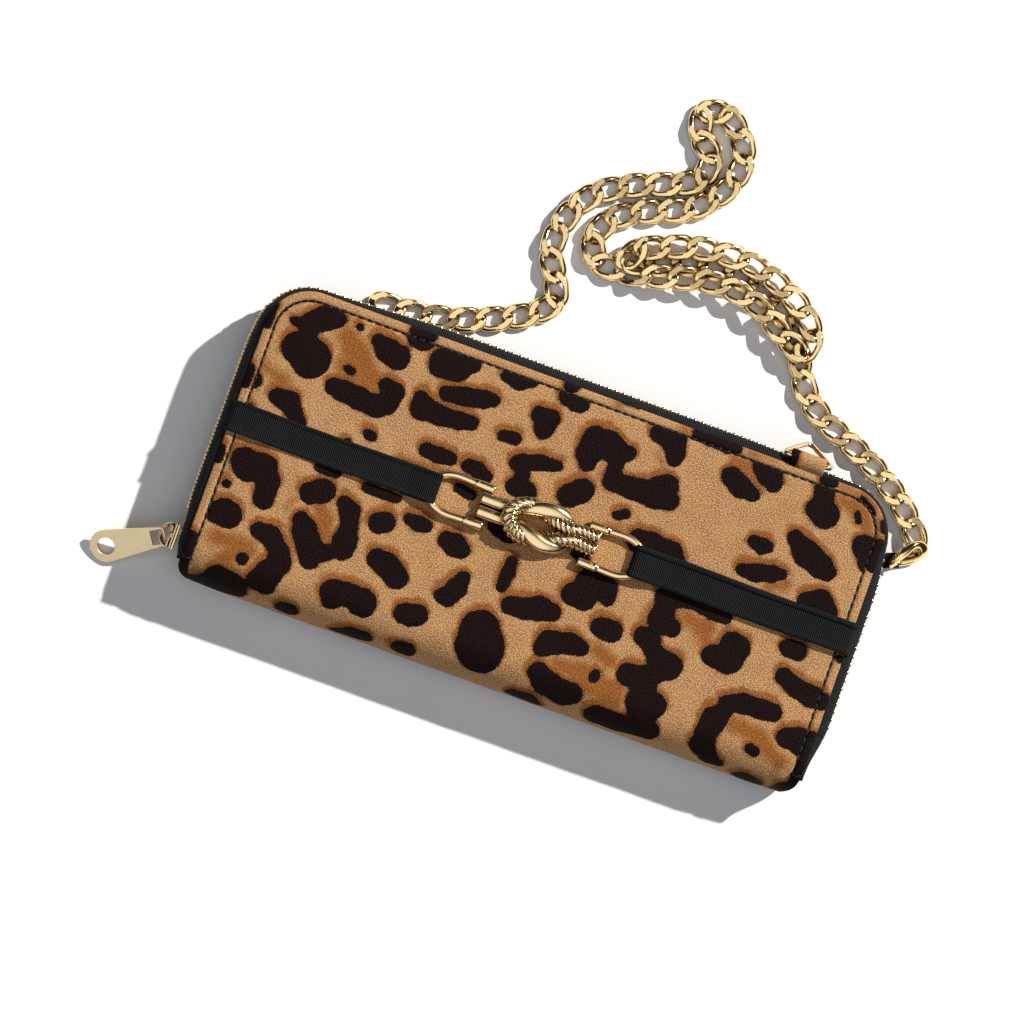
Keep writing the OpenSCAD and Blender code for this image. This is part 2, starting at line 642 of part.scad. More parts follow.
// Lengths along a route, and the point a given way along it
function steps(p) = [for (i = [0 : len(p) - 2]) norm(p[i + 1] - p[i])];
function way(s, i = 0, acc = 0) = i == len(s) ? [acc] : concat([acc], way(s, i + 1, acc + s[i]));
function along(p, w, s) =
    let (i = max([for (k = [0 : len(w) - 2]) if (w[k] <= s || k == 0) k]))
    p[i] + (p[i + 1] - p[i]) * (s - w[i]) / (w[i + 1] - w[i]);

// Links along a route, each rolled the other way from its neighbour
module chain(p) {
    w = way(steps(p));
    n = floor(w[len(w) - 1] / link_pitch);
    step = w[len(w) - 1] / n;
    for (i = [0 : n - 1]) {
        a = along(p, w, i * step);
        b = along(p, w, (i + 1) * step - eps);
        d = b - a;
        translate((a + b) / 2)
            rotate([0, -atan2(d[2], norm([d[0], d[1]])), atan2(d[1], d[0])])
                rotate([i % 2 == 0 ? 38 : -38, 0, 0])
                    link(link_pitch + 4 * link_wire_r + 0.3, link_w, link_wire_r);
    }
}

module chain_links() color("gold") chain(chain_route);
module chain_return() color("gold") chain(return_route);
// Upright link that joins the chain's last link to the right tab
module chain_end_ring() color("gold")
    translate(end_link_at) rotate([90, 0, end_link_turn])
        link(end_link_len, end_link_w, end_link_r);

back_skin();
back_board();
back_lining();
back_pocket_1();
back_pocket_2();
back_pocket_3();
spine_skin();
spine_lining();
gusset_left();
gusset_right();
zip_tape_back();
zip_teeth_back();
zip_end_left();
zip_end_right();
zip_stop();
front_skin();
front_board();
front_lining();
front_pocket_1();
front_pocket_2();
front_pocket_3();
zip_tape_front();
zip_teeth_front();
zip_slider();
zip_bail();
zip_pull();
strap_left();
strap_right();
shackle_left();
shackle_right();
shackle_pin_left();
shackle_pin_right();
knot_smooth();
knot_rope();
ring_tab();
clip_ring();
divider_back();
divider_front();
coin_wall_back();
coin_wall_front();
coin_edge();
coin_tape_back();
coin_tape_front();
coin_teeth_back();
coin_teeth_front();
coin_slider();
coin_pull();
chain_tab_left();
chain_tab_right();
chain_end_ring();
chain_links();
chain_return();
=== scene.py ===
import bmesh, bpy, math
import numpy as np
from mathutils import Matrix, Vector, noise


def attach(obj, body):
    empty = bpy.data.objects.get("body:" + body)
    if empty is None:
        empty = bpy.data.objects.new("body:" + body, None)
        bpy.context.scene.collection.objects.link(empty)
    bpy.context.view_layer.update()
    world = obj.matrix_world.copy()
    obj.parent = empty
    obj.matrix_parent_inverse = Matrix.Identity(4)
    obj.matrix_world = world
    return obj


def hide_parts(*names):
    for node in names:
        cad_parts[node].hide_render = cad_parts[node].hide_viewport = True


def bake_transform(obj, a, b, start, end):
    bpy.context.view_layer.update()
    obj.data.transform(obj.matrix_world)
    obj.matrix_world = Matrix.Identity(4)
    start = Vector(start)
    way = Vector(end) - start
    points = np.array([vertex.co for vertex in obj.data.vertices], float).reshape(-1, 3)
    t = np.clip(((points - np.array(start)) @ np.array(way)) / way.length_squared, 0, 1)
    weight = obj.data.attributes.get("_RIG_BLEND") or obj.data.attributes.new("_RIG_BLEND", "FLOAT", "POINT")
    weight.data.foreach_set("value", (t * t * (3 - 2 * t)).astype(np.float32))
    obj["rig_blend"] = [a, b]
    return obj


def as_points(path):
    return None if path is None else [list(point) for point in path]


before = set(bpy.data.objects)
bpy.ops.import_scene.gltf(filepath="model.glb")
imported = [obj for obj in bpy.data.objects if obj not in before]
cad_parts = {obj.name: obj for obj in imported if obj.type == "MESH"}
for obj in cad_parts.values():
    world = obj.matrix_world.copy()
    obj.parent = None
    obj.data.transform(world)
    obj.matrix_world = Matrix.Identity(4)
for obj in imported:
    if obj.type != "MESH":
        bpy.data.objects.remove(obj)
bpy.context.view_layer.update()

# ---------------------------------------------------------------- camera
# A long lens almost straight above the table, a little on the spine's side,
# turned so that the wallet lies slanting down to the right.
eye = Vector((-0.1035, -0.0969, 1.422))
forward = Vector((0.0662, 0.0722, -0.9952)).normalized()
across = forward.cross(Vector((-0.3369, 0.9415, 0.0))).normalized()
upward = across.cross(forward)
camera = bpy.data.objects.new("camera", bpy.data.cameras.new("camera"))
camera.data.lens = 162.4
camera.data.clip_end = 20
camera.matrix_world = Matrix.Translation(eye) @ Matrix((across, upward, -forward)).transposed().to_4x4()
bpy.context.scene.collection.objects.link(camera)
bpy.context.scene.camera = camera

# ---------------------------------------------------------------- the chain
# Polished curb chain: each oval link is twisted so that the chain lies flat, and
# ground flat on top. It leaves its tab at the top edge, doubles back on itself
# and ends on the tab at the right. It was laid by hand, so it wanders a little.
low, high = 0.00297, 0.00562     # heights of the chain's middle on the table and on itself
chain_runs = [
    (low, [(-71, 53), (-63.5, 53.5), (-56, 54), (-48.5, 55.5), (-40.5, 58), (-32.5, 61.5), (-25, 65), (-19, 70),
           (-17.5, 76), (-22.5, 81), (-25.5, 87.5), (-24, 98.5), (-20, 106.5), (-12.5, 112), (-5, 116),
           (3.5, 119), (11, 122.5), (14, 127.5), (12, 132.5), (7, 136), (4, 141.5), (7.5, 146.5), (14, 145.5),
           (19, 141), (22.5, 135), (22, 127.5), (18.5, 120.5), (12.5, 114), (5, 111), (-3, 107.5), (-9.5, 104),
           (-14, 97), (-14, 91.5), (-9.5, 87.5), (-2.5, 88)]),
    (high, [(6.5, 89.5), (15, 92), (24, 94.5), (34, 94.5), (43, 92), (50.5, 87.5), (57, 82.5), (62, 84.5),
            (59.5, 92), (52.5, 97.5), (44, 101.5), (35.5, 104), (26.5, 104), (17.5, 103), (9, 100), (1, 96.5),
            (-4, 93.5)]),
    (low + 0.0012, [(0.5, 90.5)]),
    (low, [(8.5, 94), (17, 97.5), (26, 99), (35, 99), (43.5, 96.5), (51, 92), (57, 86), (60.5, 79.5),
           (63.5, 73.5), (69, 68.5), (75, 65), (82, 62.5), (90, 59), (98, 54.5), (105, 49.5), (109.3, 45.2),
           (112.4, 41.8), (114.4, 38.9)])]
chain_points = [Vector((x / 1000, y / 1000, z)) for z, run in chain_runs for x, y in run]


def smooth_way(points, step):
    """Even points along a smooth line through the given ones."""
    fine = []
    ends = [points[0]] + points + [points[-1]]
    for a, b, c, d in zip(ends, ends[1:], ends[2:], ends[3:]):
        for k in range(12):
            t = k / 12
            fine.append(0.5 * (2 * b + t * (c - a) + t * t * (2 * a - 5 * b + 4 * c - d)
                               + t ** 3 * (3 * b - a - 3 * c + d)))
    fine.append(points[-1])
    total = sum((q - p).length for p, q in zip(fine, fine[1:]))
    count = max(1, round(total / step))
    even, left, gone = [fine[0]], total / count, 0.0
    for p, q in zip(fine, fine[1:]):
        span = (q - p).length
        while gone + span >= left * len(even) - 1e-9 and len(even) <= count and span > 0:
            even.append(p.lerp(q, (left * len(even) - gone) / span))
        gone += span
    return even, total


def finish_piece(name, bm, material, smooth=True):
    """Makes a mesh object of a bmesh, its faces pointing outwards."""
    bmesh.ops.recalc_face_normals(bm, faces=bm.faces)
    for face in bm.faces:
        face.smooth = smooth
    mesh = bpy.data.meshes.new(name)
    bm.to_mesh(mesh)
    bm.free()
    mesh.materials.append(material)
    piece = bpy.data.objects.new(name, mesh)
    bpy.context.scene.collection.objects.link(piece)
    return piece


def feed(tree, node, inputs):
    """Sets a node's inputs to values, or links them to other nodes' outputs."""
    for name, given in dict(inputs).items():
        if isinstance(given, bpy.types.NodeSocket):
            tree.links.new(given, node.inputs[name])
        else:
            node.inputs[name].default_value = given


def add_node(tree, kind, inputs=(), **settings):
    """Adds a shader node with its settings and inputs."""
    node = tree.nodes.new("ShaderNode" + kind)
    for name, setting in settings.items():
        setattr(node, name, setting)
    feed(tree, node, inputs)
    return node


def bumped(tree, height, strength, distance):
    """The normal of a surface that a height from other nodes makes uneven."""
    bump = add_node(tree, "Bump", {"Height": height, "Strength": strength, "Distance": distance})
    return bump.outputs["Normal"]


def new_material(name):
    """A material, its node tree and the main shader in it."""
    material = bpy.data.materials.new(name)
    material.use_nodes = True
    return material, material.node_tree, material.node_tree.nodes["Principled BSDF"]


def gold(name, colour, roughness, crease_shade_tone):
    """Gold plating: fine wear in the gloss, and painted shade that darkens the creases to brown where ambient
    occlusion finds them.
    """
    material, tree, shader = new_material(name)
    place = add_node(tree, "TexCoord").outputs["Object"]
    scuff = add_node(tree, "TexNoise", {"Vector": place, "Scale": 900, "Detail": 4})
    gloss = add_node(tree, "MapRange", {"Value": scuff.outputs["Fac"], "To Min": roughness * 0.7,
                                        "To Max": roughness * 1.4})
    # painted shade: ambient occlusion darkens the colour towards brown in creases and between parts
    occlusion = add_node(tree, "AmbientOcclusion", {"Distance": 0.0022}, samples=8)
    shade_mask = add_node(tree, "MapRange", {"Value": occlusion.outputs["AO"], "From Min": 0.32, "From Max": 0.95})
    shaded_brown = [c * crease_shade_tone for c in (colour[0], colour[1] * 0.72, colour[2] * 0.45)]
    tone = add_node(tree, "Mix", {"Factor": shade_mask.outputs["Result"], "A": shaded_brown + [1], "B": colour + (1,)},
                    data_type="RGBA")
    dents = add_node(tree, "TexNoise", {"Vector": place, "Scale": 420})
    feed(tree, shader, {"Metallic": 1.0, "Roughness": gloss.outputs["Result"],
                        "Base Color": tone.outputs["Result"],
                        "Normal": bumped(tree, dents.outputs["Fac"], 0.6, 0.00008)})
    return material


def add_copy(whole, part, matrix):
    """Adds a copy of one bmesh to another, moved by a matrix."""
    copy = part.copy()
    bmesh.ops.transform(copy, matrix=matrix, verts=copy.verts)
    mesh = bpy.data.meshes.new("copy")
    copy.to_mesh(mesh)
    copy.free()
    whole.from_mesh(mesh)
    bpy.data.meshes.remove(mesh)


def fit(piece, body, slot, *nodes):
    """Fixes a piece to a CAD body in place of the CAD's own nodes. The slot is not used."""
    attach(piece, body)
    if nodes:
        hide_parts(*nodes)


chain_gold = gold("chain_gold", (1.0, 0.725, 0.34), 0.11, 0.20)
wire, half_width, half_high, pitch = 0.00098, 0.0040, 0.0015, 0.0083
straight, stretch, twist = 0.0014, 1.2, math.radians(39)
settle = 0.00140                 # how far the ground links lie below the chain's own line
link = bmesh.new()
bmesh.ops.create_circle(link, segments=12, radius=1)
for vert in link.verts:
    vert.co = Vector([math.copysign(abs(c) ** 0.6, c) * wire for c in vert.co])
bmesh.ops.rotate(link, verts=link.verts, matrix=Matrix.Rotation(math.pi / 2, 3, "X"))
bmesh.ops.scale(link, verts=link.verts, vec=(1, 1, 1.4))
bmesh.ops.translate(link, verts=link.verts, vec=(half_width - wire, 0, 0))
bmesh.ops.rotate(link, verts=link.verts, matrix=Matrix.Rotation(math.pi / 24, 3, "Z"))
bmesh.ops.spin(link, geom=link.verts[:] + link.edges[:], cent=(0, 0, 0), axis=(0, 0, 1),
               angle=2 * math.pi, steps=24, use_merge=True)
for vert in link.verts:
    vert.co.x = stretch * vert.co.x + math.copysign(straight, vert.co.x)
for cut in (-0.0012, 0, 0.0012):
    bmesh.ops.bisect_plane(link, geom=link.verts[:] + link.edges[:] + link.faces[:],
                           plane_co=(cut, 0, 0), plane_no=(1, 0, 0))
for vert in link.verts:
    turn = Matrix.Rotation(-twist * vert.co.x / (stretch * half_width + straight), 3, "X")
    vert.co = turn @ vert.co
    vert.co.z = max(-half_high, min(half_high, vert.co.z))
ground = [all(abs(vert.co.z) > half_high - 1e-5 for vert in face.verts) for face in link.faces]
link.faces.index_update()
for edge in link.edges:
    edge.smooth = len({ground[face.index] for face in edge.link_faces}) == 1

link_places, chain_length = smooth_way(chain_points, pitch)
chain_bm = bmesh.new()
for i, (a, b) in enumerate(zip(link_places, link_places[1:])):
    along = (b - a).normalized()
    sway = math.radians(6) * math.sin(i * 2.4) + math.radians(3) * math.sin(i * 5.1 + 1)
    side = Matrix.Rotation(sway, 3, along) @ Vector((0, 0, 1)).cross(along).normalized()
    turned = Matrix((along, side, along.cross(side))).transposed().to_4x4()
    centre = (a + b) / 2 - Vector((0, 0, settle))
    add_copy(chain_bm, link, Matrix.Translation(centre) @ turned)
curb_chain = finish_piece("curb_chain", chain_bm, chain_gold)
fit(curb_chain, "back_half", "gold_chain", "chain_links", "chain_return")
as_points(smooth_way(chain_points, 0.003)[0])

# ---------------------------------------------------------------- printed cover
# One sheet of coated leather from the front over the rolled spine to the back,
# its edges turned in round the boards and sewn through. Its leopard print is
# painted from strokes (x, y, radius in mm; y runs on round the spine).
half_x, top_y, corner = 100.5, 47.75, 14.0   # half length, top edge and corner radius
fold_y, roll = -36.75, 11.0                  # where the spine's roll starts, and its radius
side_low, middle = -42.3, 11.0               # where the zip ends, and half the wallet's thickness
turn_in, turn_arc = 0.8, 1.257               # the turned edge's radius, and the length of its arc
seam_in = 2.2                                # how far the seam is from the edge
round_r, base_x, base_top = corner - turn_in, half_x - turn_in, top_y - turn_in
back_fold = fold_y - math.pi * roll          # where the sheet leaves the spine for the back
base_low = fold_y + back_fold - base_top
mid_v = (base_top + base_low) / 2

spots = [
    [(-80, 41.8, 2.9), (-84, 40.5, 4), (-88, 38, 3.6), (-92, 38, 2.2)],
    [(-87.5, 38, 3.2), (-87, 32, 3.4), (-88.5, 29.5, 5.2), (-84, 27.8, 6.6)],
    [(-73.2, 41.9, 1.3), (-72.6, 41.7, 1.3)], [(-66.2, 39.8, 2.5), (-62.5, 38, 4), (-59.3, 37.2, 4.3)],
    [(-55.5, 45.2, 3.6), (-53.5, 45.2, 3.8), (-54.5, 48, 4.5)],
    [(-45.5, 40.5, 4.6), (-41, 41, 5), (-36.8, 43, 2.9)], [(-46, 38.8, 3.6), (-42, 38.6, 3)],
    [(-41.4, 31.9, 2.6), (-36, 32.8, 3.1), (-30, 34, 3), (-27.3, 34.8, 2.4)],
    [(-48.3, 27.9, 2.6), (-46.8, 25.3, 4), (-41, 24.8, 3.3), (-35, 25.3, 2.9), (-31.3, 25.8, 2.6)],
    [(-72.3, 28.7, 1.5), (-70.8, 28.2, 1.5)],
    [(-59.5, 28, 2.6), (-56.5, 26.5, 3.3), (-57.5, 22.5, 3.4), (-60, 20.8, 3.6), (-66, 21.2, 3.6),
     (-71.5, 21.8, 3.4), (-74.3, 22, 3)],
    [(-89.4, 13.3, 2.9), (-85.5, 12.9, 3.6), (-83, 10.5, 2.6), (-80.7, 8, 2.3), (-80, 6, 2.3)],
    [(-59.8, 12, 1.8), (-58.3, 11.7, 1.9)], [(-64.8, 7.4, 1.7), (-64.5, 5, 2)],
    [(-28.2, 6, 1.9), (-24, 5.2, 2)], [(-13.3, -0.8, 3.1), (-9, -1.8, 3.3)],
    [(11.8, -0.9, 1.3), (15.5, -1.6, 1.9)], [(-41.3, 13.5, 2.6), (-37, 13.3, 2.7), (-33.6, 13.5, 2.4)],
    [(-27.8, 13.3, 2.4), (-25, 13.3, 2.6), (-21.3, 12, 2.2)], [(-46, 6, 2.2), (-41, 6, 2.2)],
    [(-100, 17, 3), (-97.8, 15.6, 2.8)], [(-96.3, 7.9, 1), (-95.9, 7.5, 1.1)],
    [(-20.8, 25.6, 2), (-17, 26, 2.3)],
    [(-12.4, 35.7, 2.8), (-8.6, 35.6, 2.9), (-9.7, 31.4, 2.9), (-12, 34.7, 2.6)],
    [(-25.6, 43.4, 2.5), (-21.8, 43.4, 3.3), (-17.9, 44.4, 2.3)],
    [(-6, 43.8, 3.3), (-2.5, 43.1, 3.3), (-1.2, 42.8, 2.5)],
    [(-2, 22.5, 2), (-7, 21.8, 2.6), (-12.5, 19.7, 3), (-14, 19, 2.6)],
    [(-11.6, 18, 2.6), (-11, 13.4, 2.6), (-8, 12, 2.9), (-12.5, 12, 2.9)],
    [(6, 35, 3.7), (10.5, 34.1, 4.5), (16.3, 33.4, 2.8), (17.6, 34, 2.2)],
    [(6.3, 33.5, 4.6), (5.6, 29.5, 4.1), (6.2, 26.5, 2.9)],
    [(10.6, 33, 4.4), (14.8, 31, 2.5), (14.8, 27, 2.5), (15.4, 23.9, 3.2), (22, 24, 3.6), (29, 24.5, 4.4),
     (33.5, 24.3, 3.5)], [(29, 27, 3.6), (31.8, 28.4, 3.8)],
    [(4.2, 15.2, 3.9), (7.5, 18, 3.8), (8.2, 18.7, 3.2)], [(20.2, 14.6, 1.7), (22.3, 15.8, 1.9)],
    [(29, 9.5, 3.9), (33, 9.4, 4.3), (39.5, 9.4, 3.8), (42, 7.5, 3.2)],
    [(24.3, 42.8, 3.4), (28.8, 42.6, 4.3), (30.6, 39, 3.2), (31, 36.8, 2.7)],
    [(36, 47, 2.8), (45, 46.7, 2.9), (47.5, 47, 2.4)],
    [(49.3, 37.8, 3.4), (53, 35.8, 3.6), (57.4, 34.8, 2.5)],
    [(57.5, 43.6, 3.4), (60.3, 42.4, 4.2), (62.4, 40.2, 3)],
    [(77.8, 44.2, 3.6), (78.4, 40, 3.3), (80.3, 36.8, 4.6), (77.5, 37.3, 3.8)],
    [(90, 40.8, 1.5), (90.8, 39.9, 1.4)], [(89.5, 46.3, 1.4), (94.5, 45.6, 1.4)],
    [(95.3, 31.5, 4.3), (98.5, 30.5, 5), (97.5, 27, 3.2)],
    [(74.2, 26.7, 2.9), (79, 23.5, 4.4), (84.5, 21.2, 4), (86.8, 20.2, 3.1)],
    [(62.5, 21.5, 2.2), (65.3, 20.9, 2.7), (66.8, 21.2, 2.3)],
    [(61.8, 12, 2.2), (66.5, 12.6, 3), (71, 14, 2.8), (73.8, 14.7, 2.1)],
    [(84, 9.5, 3.4), (88, 11, 3.9), (91.5, 8.8, 3)],
    [(-92.5, -8.3, 4.2), (-90.5, -9.3, 5), (-86, -8.6, 4.4), (-83.3, -12, 3.8), (-82.8, -17.5, 3.4)],
    [(-95, -16.8, 1.6), (-94.8, -16.8, 1.6)], [(-95, -26.2, 3.3), (-93, -25.4, 4.4), (-91.2, -25.5, 4.5)],
    [(-81, -26.8, 2.8), (-77, -27.2, 3.3), (-73, -30.8, 3.2), (-71.8, -34, 3.8), (-74, -38.5, 4.3),
     (-76.3, -41.3, 3.3), (-73.6, -41.8, 3.6)], [(-82.8, -36.6, 2.1), (-82.6, -36.8, 2.1)],
    [(-87.5, -45.5, 5), (-83.4, -47, 5.6), (-90, -50, 5), (-96, -52, 4)],
    [(-70, -10.8, 3.7), (-66.8, -9, 3.9), (-65.6, -8.2, 3)],
    [(-59.5, -10, 2.4), (-57, -12, 3.4), (-55.6, -16, 2.8), (-55.3, -21, 3.9), (-55.2, -23.5, 3.8)],
    [(-70, -19.5, 2.9), (-68, -22, 4), (-64.3, -27, 4.3), (-63.5, -29.8, 3.5)],
    [(-61.5, -27.5, 3), (-57, -24.5, 2.5)], [(-48, -12, 3), (-45.6, -11.5, 3.2), (-47.5, -13, 3)],
    [(-39, -8, 2.1), (-36, -8.4, 2.6), (-33.8, -8.4, 2.4)],
    [(-26.3, -10.2, 2.9), (-23.3, -10.9, 3.8), (-20.8, -11.6, 2.8)],
    [(-44.3, -22.8, 3.4), (-41, -23.6, 4), (-36.8, -26, 3.9)],
    [(-17.5, -19.3, 2.4), (-18.5, -23, 3.4), (-20.3, -26.3, 3.2), (-22.5, -26.8, 2.3)],
    [(-5.3, -9.5, 2), (-5.4, -13, 2.3), (-5.7, -17.7, 2.1)],
    [(-1.3, -22.3, 3.2), (3, -21.9, 3.4), (7.5, -20.2, 3.9), (11.2, -20, 3.2)],
    [(-7.5, -32.5, 6.4), (-6, -37, 7.7), (-5, -39, 7)],
    [(-53.3, -37, 4.4), (-49, -35.9, 3.7), (-44, -36.6, 4.5)], [(-53, -38.8, 3.4), (-53, -39, 3.4)],
    [(-44.6, -38, 3.4), (-43, -38, 3.4)], [(-31, -35.6, 3.4), (-27, -34.7, 3.3), (-28.5, -35.8, 3.3)],
    [(-66, -47.8, 2.9), (-64, -47.9, 3.1)], [(-39.9, -47.9, 2.9), (-44, -48.6, 3), (-49, -50.8, 2)],
    # The strokes at y -2.4 and -3.5 below the left strap are partly print and partly painted shadow of the
    # strap.
    [(-28.4, -46.9, 3.2), (-26.4, -46.9, 3.3)], [(-70, -2.4, 2), (-65, -2.4, 2)],
    [(-54.5, -3.4, 1.9), (-45, -3.5, 1.8)],
    [(15.5, -12.6, 3.9), (19, -12.4, 4.1), (18.5, -7.4, 3.8), (24.5, -7.6, 3.8), (25.9, -10.2, 2.7)],
    [(26.9, -19.2, 3.4), (30.5, -19.3, 3.8)],
    [(12.3, -31, 3.2), (13.8, -29, 4), (20, -26.9, 3.4), (23.2, -27.3, 2.8)],
    [(13.5, -38.6, 3.5), (17, -41, 4.2), (23, -42.3, 4.4), (25.3, -41.4, 3.8)],
    [(30.2, -33.4, 1.9), (30, -34.5, 1.8)],
    [(42.5, -4, 3.6), (50, -2, 2.8), (58, -3, 2.8), (62, -3.4, 2.5)],
    [(43.5, -7, 3.6), (43.5, -11, 4), (47.4, -12, 3.2)], [(40.2, -17.3, 3.4), (42.4, -18, 3.7)],
    [(44.5, -20.5, 3.2), (47, -22.5, 3.8), (50.5, -23.4, 4.6)],
    [(48, -26, 3.6), (44, -30, 4.2), (39.6, -30, 3.8)],
    [(46, -31, 3.6), (46, -36.5, 4.7), (50, -36.3, 4.4)],
    [(47, -38, 4.4), (48, -43, 3.8), (51.3, -44.3, 3.7), (41, -46, 4.1), (35, -45.8, 4.2)],
    [(66.5, -10.2, 3.9), (68.6, -11, 4), (67, -15, 4.8), (62, -15.8, 3.6)],
    [(83.3, -5.6, 3.1), (86.3, -5.6, 3.3)],
    [(84.8, -14.3, 2.9), (89.5, -16.4, 3.1), (95, -17.2, 3.6), (96.5, -17.3, 3.4)],
    [(71, -28, 2.8), (75.5, -26.5, 3.3), (82, -26.1, 3.3), (85.7, -25.9, 3)],
    [(71.5, -30, 2.6), (69.2, -33.7, 4.1), (68.2, -38, 3.6), (68.4, -42.8, 4), (72, -46.4, 3.2),
     (75.3, -47.3, 2)], [(92, -31.7, 3.5), (95.8, -31, 3.9), (97, -32, 4)],
    [(82.3, -38.4, 1.7), (84, -39, 2)], [(84.5, -51, 4), (88, -52, 4)], [(98, -49, 4), (99, -56, 5)],
    [(9.5, -50, 3.4), (13.5, -50.5, 4), (17, -52.5, 3)]]
rim_spots = [
    [(-100, 41.5, 1.9), (-100, 33.5, 1.9)], [(-100, 18.5, 1.8), (-100, 14, 1.9)],
    [(-100, -7, 1.5), (-99.8, -10.5, 1.7)], [(-99.5, -35.5, 2.2), (-99, -60, 3)],
    [(-56, 47, 2.7), (-52.3, 47, 2.8)], [(-6.5, 46.8, 2.2), (-5.6, 47.5, 2.4)],
    [(10.5, 48.7, 1.3), (15, 48.7, 1.5)], [(36.3, 46.5, 3), (47, 46.5, 3)],
    [(77, 47, 2.1), (79.4, 47, 2.1)], [(89.5, 45.8, 0.9), (94.5, 45.3, 1)],
    [(98.6, 42.8, 1.5), (99.6, 39.8, 1.8)], [(99.5, 34, 2.4), (99.5, 27, 2.5)],
    [(99.5, -3.5, 1.5), (98.5, -3.3, 1)], [(98.5, -17.5, 3), (97.5, -17.5, 3)],
    [(99.3, -29.5, 2.8), (99.3, -60, 3)]]
warm_strokes = [
    [(-76, 38, 3), (-71, 34, 4), (-64, 28, 3)], [(-74, 29, 3), (-66, 26.5, 2)],
    [(-92, -33, 3), (-83, -33.5, 3), (-88, -38, 3)], [(-67, -13, 2), (-63, -17, 3), (-61, -22, 2)],
    [(51, -7, 2.5), (57, -9, 3), (59, -13, 2)], [(18, -34, 2), (27, -35, 4), (37, -37, 4), (39, -40, 3)],
    [(28, -26, 2), (33, -28, 3)], [(75, -33, 2.5), (84, -35, 3), (93, -39, 2)],
    [(84, 43, 2), (91, 42, 3), (94, 37, 2)], [(49, 43, 2.5), (55, 41, 2)], [(71, 10, 2), (76, 12, 2)],
    [(-48, 8.5, 1.5), (-32, 9.5, 1.5)], [(-97, 21, 1.5), (-88, 18, 1.5)], [(26, 36, 1), (30, 33.5, 1.2)],
    [(11.5, 28, 0.6), (11, 23, 0.9)], [(53, 47, 1.2), (60, 46.8, 0.8)], [(83, 47, 1.5), (95, 46, 1.5)],
    [(97.5, 37.3, 1)], [(30.5, 47, 1.4), (32, 46.5, 1.4)], [(9, 47, 1.2)],
    [(38.5, -10, 1), (37.5, -12, 0.8)], [(-75, -17, 1.2), (-74, -14, 1)], [(60, 47, 1)],
    [(22, 12, 1.5), (18, 8.5, 1.5)]]


def stroke_distance(strokes, x, y, soft):
    """How far each point is from the nearest stroke: less than nothing inside one."""
    best = np.full(x.shape, 1e3)
    for stroke in strokes:
        whole = None
        for (ax, ay, ar), (bx, by, br) in zip(stroke, stroke[1:] or stroke):
            dx, dy = bx - ax, by - ay
            t = np.clip(((x - ax) * dx + (y - ay) * dy) / max(dx * dx + dy * dy, 1e-6), 0, 1)
            d = np.hypot(x - ax - t * dx, y - ay - t * dy) - (ar + t * (br - ar))
            if whole is None:
                whole = d
            else:
                mix = np.clip(0.5 + 0.5 * (d - whole) / soft, 0, 1)
                whole = d * (1 - mix) + whole * mix - soft * mix * (1 - mix)
        best = np.minimum(best, whole)
    return best


def print_distance(strokes, x, v, soft=0.9):
    """The same for the whole cover: the back half wears the front's print turned round."""
    spine = fold_y - math.pi * roll / 2
    front = stroke_distance(strokes, x, v, soft)
    back = stroke_distance(strokes, -x, 2 * spine - v, soft)
    t = np.clip((v - spine + 3) / 6, 0, 1)
    return back + (front - back) * t


edge_rows = [-2.457, -1.9, -1.257, -0.94, -0.63, -0.3, 0, 0.5, 1, 1.5, 1.8, 2.05, 2.2, 2.35, 2.6, 2.9, 3.5, 4.3]


def edge_to_edge(low, high, spans):
    """Places of the sheet's rows: close together at the edges, and even steps
    between, each span given by where it ends and its step."""
    inner, start = [], low + edge_rows[-1]
    for end, step in spans + [(high - edge_rows[-1], spans[-1][1])]:
        count = max(1, round((end - start) / step))
        inner += [start + (end - start) * k / count for k in range(1, count + 1)]
        start = end
    return [low + r for r in edge_rows] + inner[:-1] + [high - r for r in reversed(edge_rows)]


def bend_in(q):
    """Way out and down of a point that lies q beyond the start of the turned edge."""
    angle = np.clip(q / turn_in, 0, math.pi / 2)
    return turn_in * np.sin(angle), turn_in * (1 - np.cos(angle)) + np.maximum(q - turn_arc, 0)


def ripple(scale_x, scale_v, seed):
    """Smooth unevenness over the sheet, between -1 and 1."""
    uneven = np.vectorize(lambda x, v: noise.noise(Vector((x / scale_x, v / scale_v, seed))))
    return uneven(x_grid, v_grid)


sheet_x = edge_to_edge(-base_x, base_x, [(0, 0.84)])
sheet_v = edge_to_edge(base_low, base_top, [(back_fold, 1.9), (fold_y, 1.3), (fold_y + 0.9, 0.84)])
x_grid, v_grid = np.meshgrid(np.array(sheet_x), np.array(sheet_v), indexing="ij")
from_x = base_x - np.abs(x_grid)
from_v = np.minimum(base_top - v_grid, v_grid - base_low)
a, b = round_r - from_x, round_r - from_v
in_corner = (a > 0) & (b > 0)
reach = np.maximum(a, b)
inside = round_r - reach
out, drop = bend_in(np.maximum(-inside, 0))
small = np.where(reach > 0, np.minimum(a, b) / np.maximum(reach, 1e-6), 0)
angle = np.where(a >= b, math.pi / 4 * small, math.pi / 2 - math.pi / 4 * small)
ring = np.minimum(reach, round_r) + out
flat_x = np.where(in_corner, base_x - round_r + ring * np.cos(angle),
                  np.where(from_x < 0, base_x + out, np.abs(x_grid))) * np.sign(x_grid + 1e-9)
high_v = np.where(in_corner, base_top - round_r + ring * np.sin(angle),
                  np.where(from_v < 0, base_top + out, base_top - from_v)) - mid_v
flat_v = mid_v + high_v * np.sign(v_grid - mid_v + 1e-9)
on_roll = np.clip((fold_y - flat_v) / roll, 0, math.pi)
side_out = 3.2 * np.sin(on_roll) ** 8 * np.clip((np.abs(flat_x) - 86) / 14, 0, 1) ** 1.5
flat_x = flat_x - side_out * np.sign(flat_x)

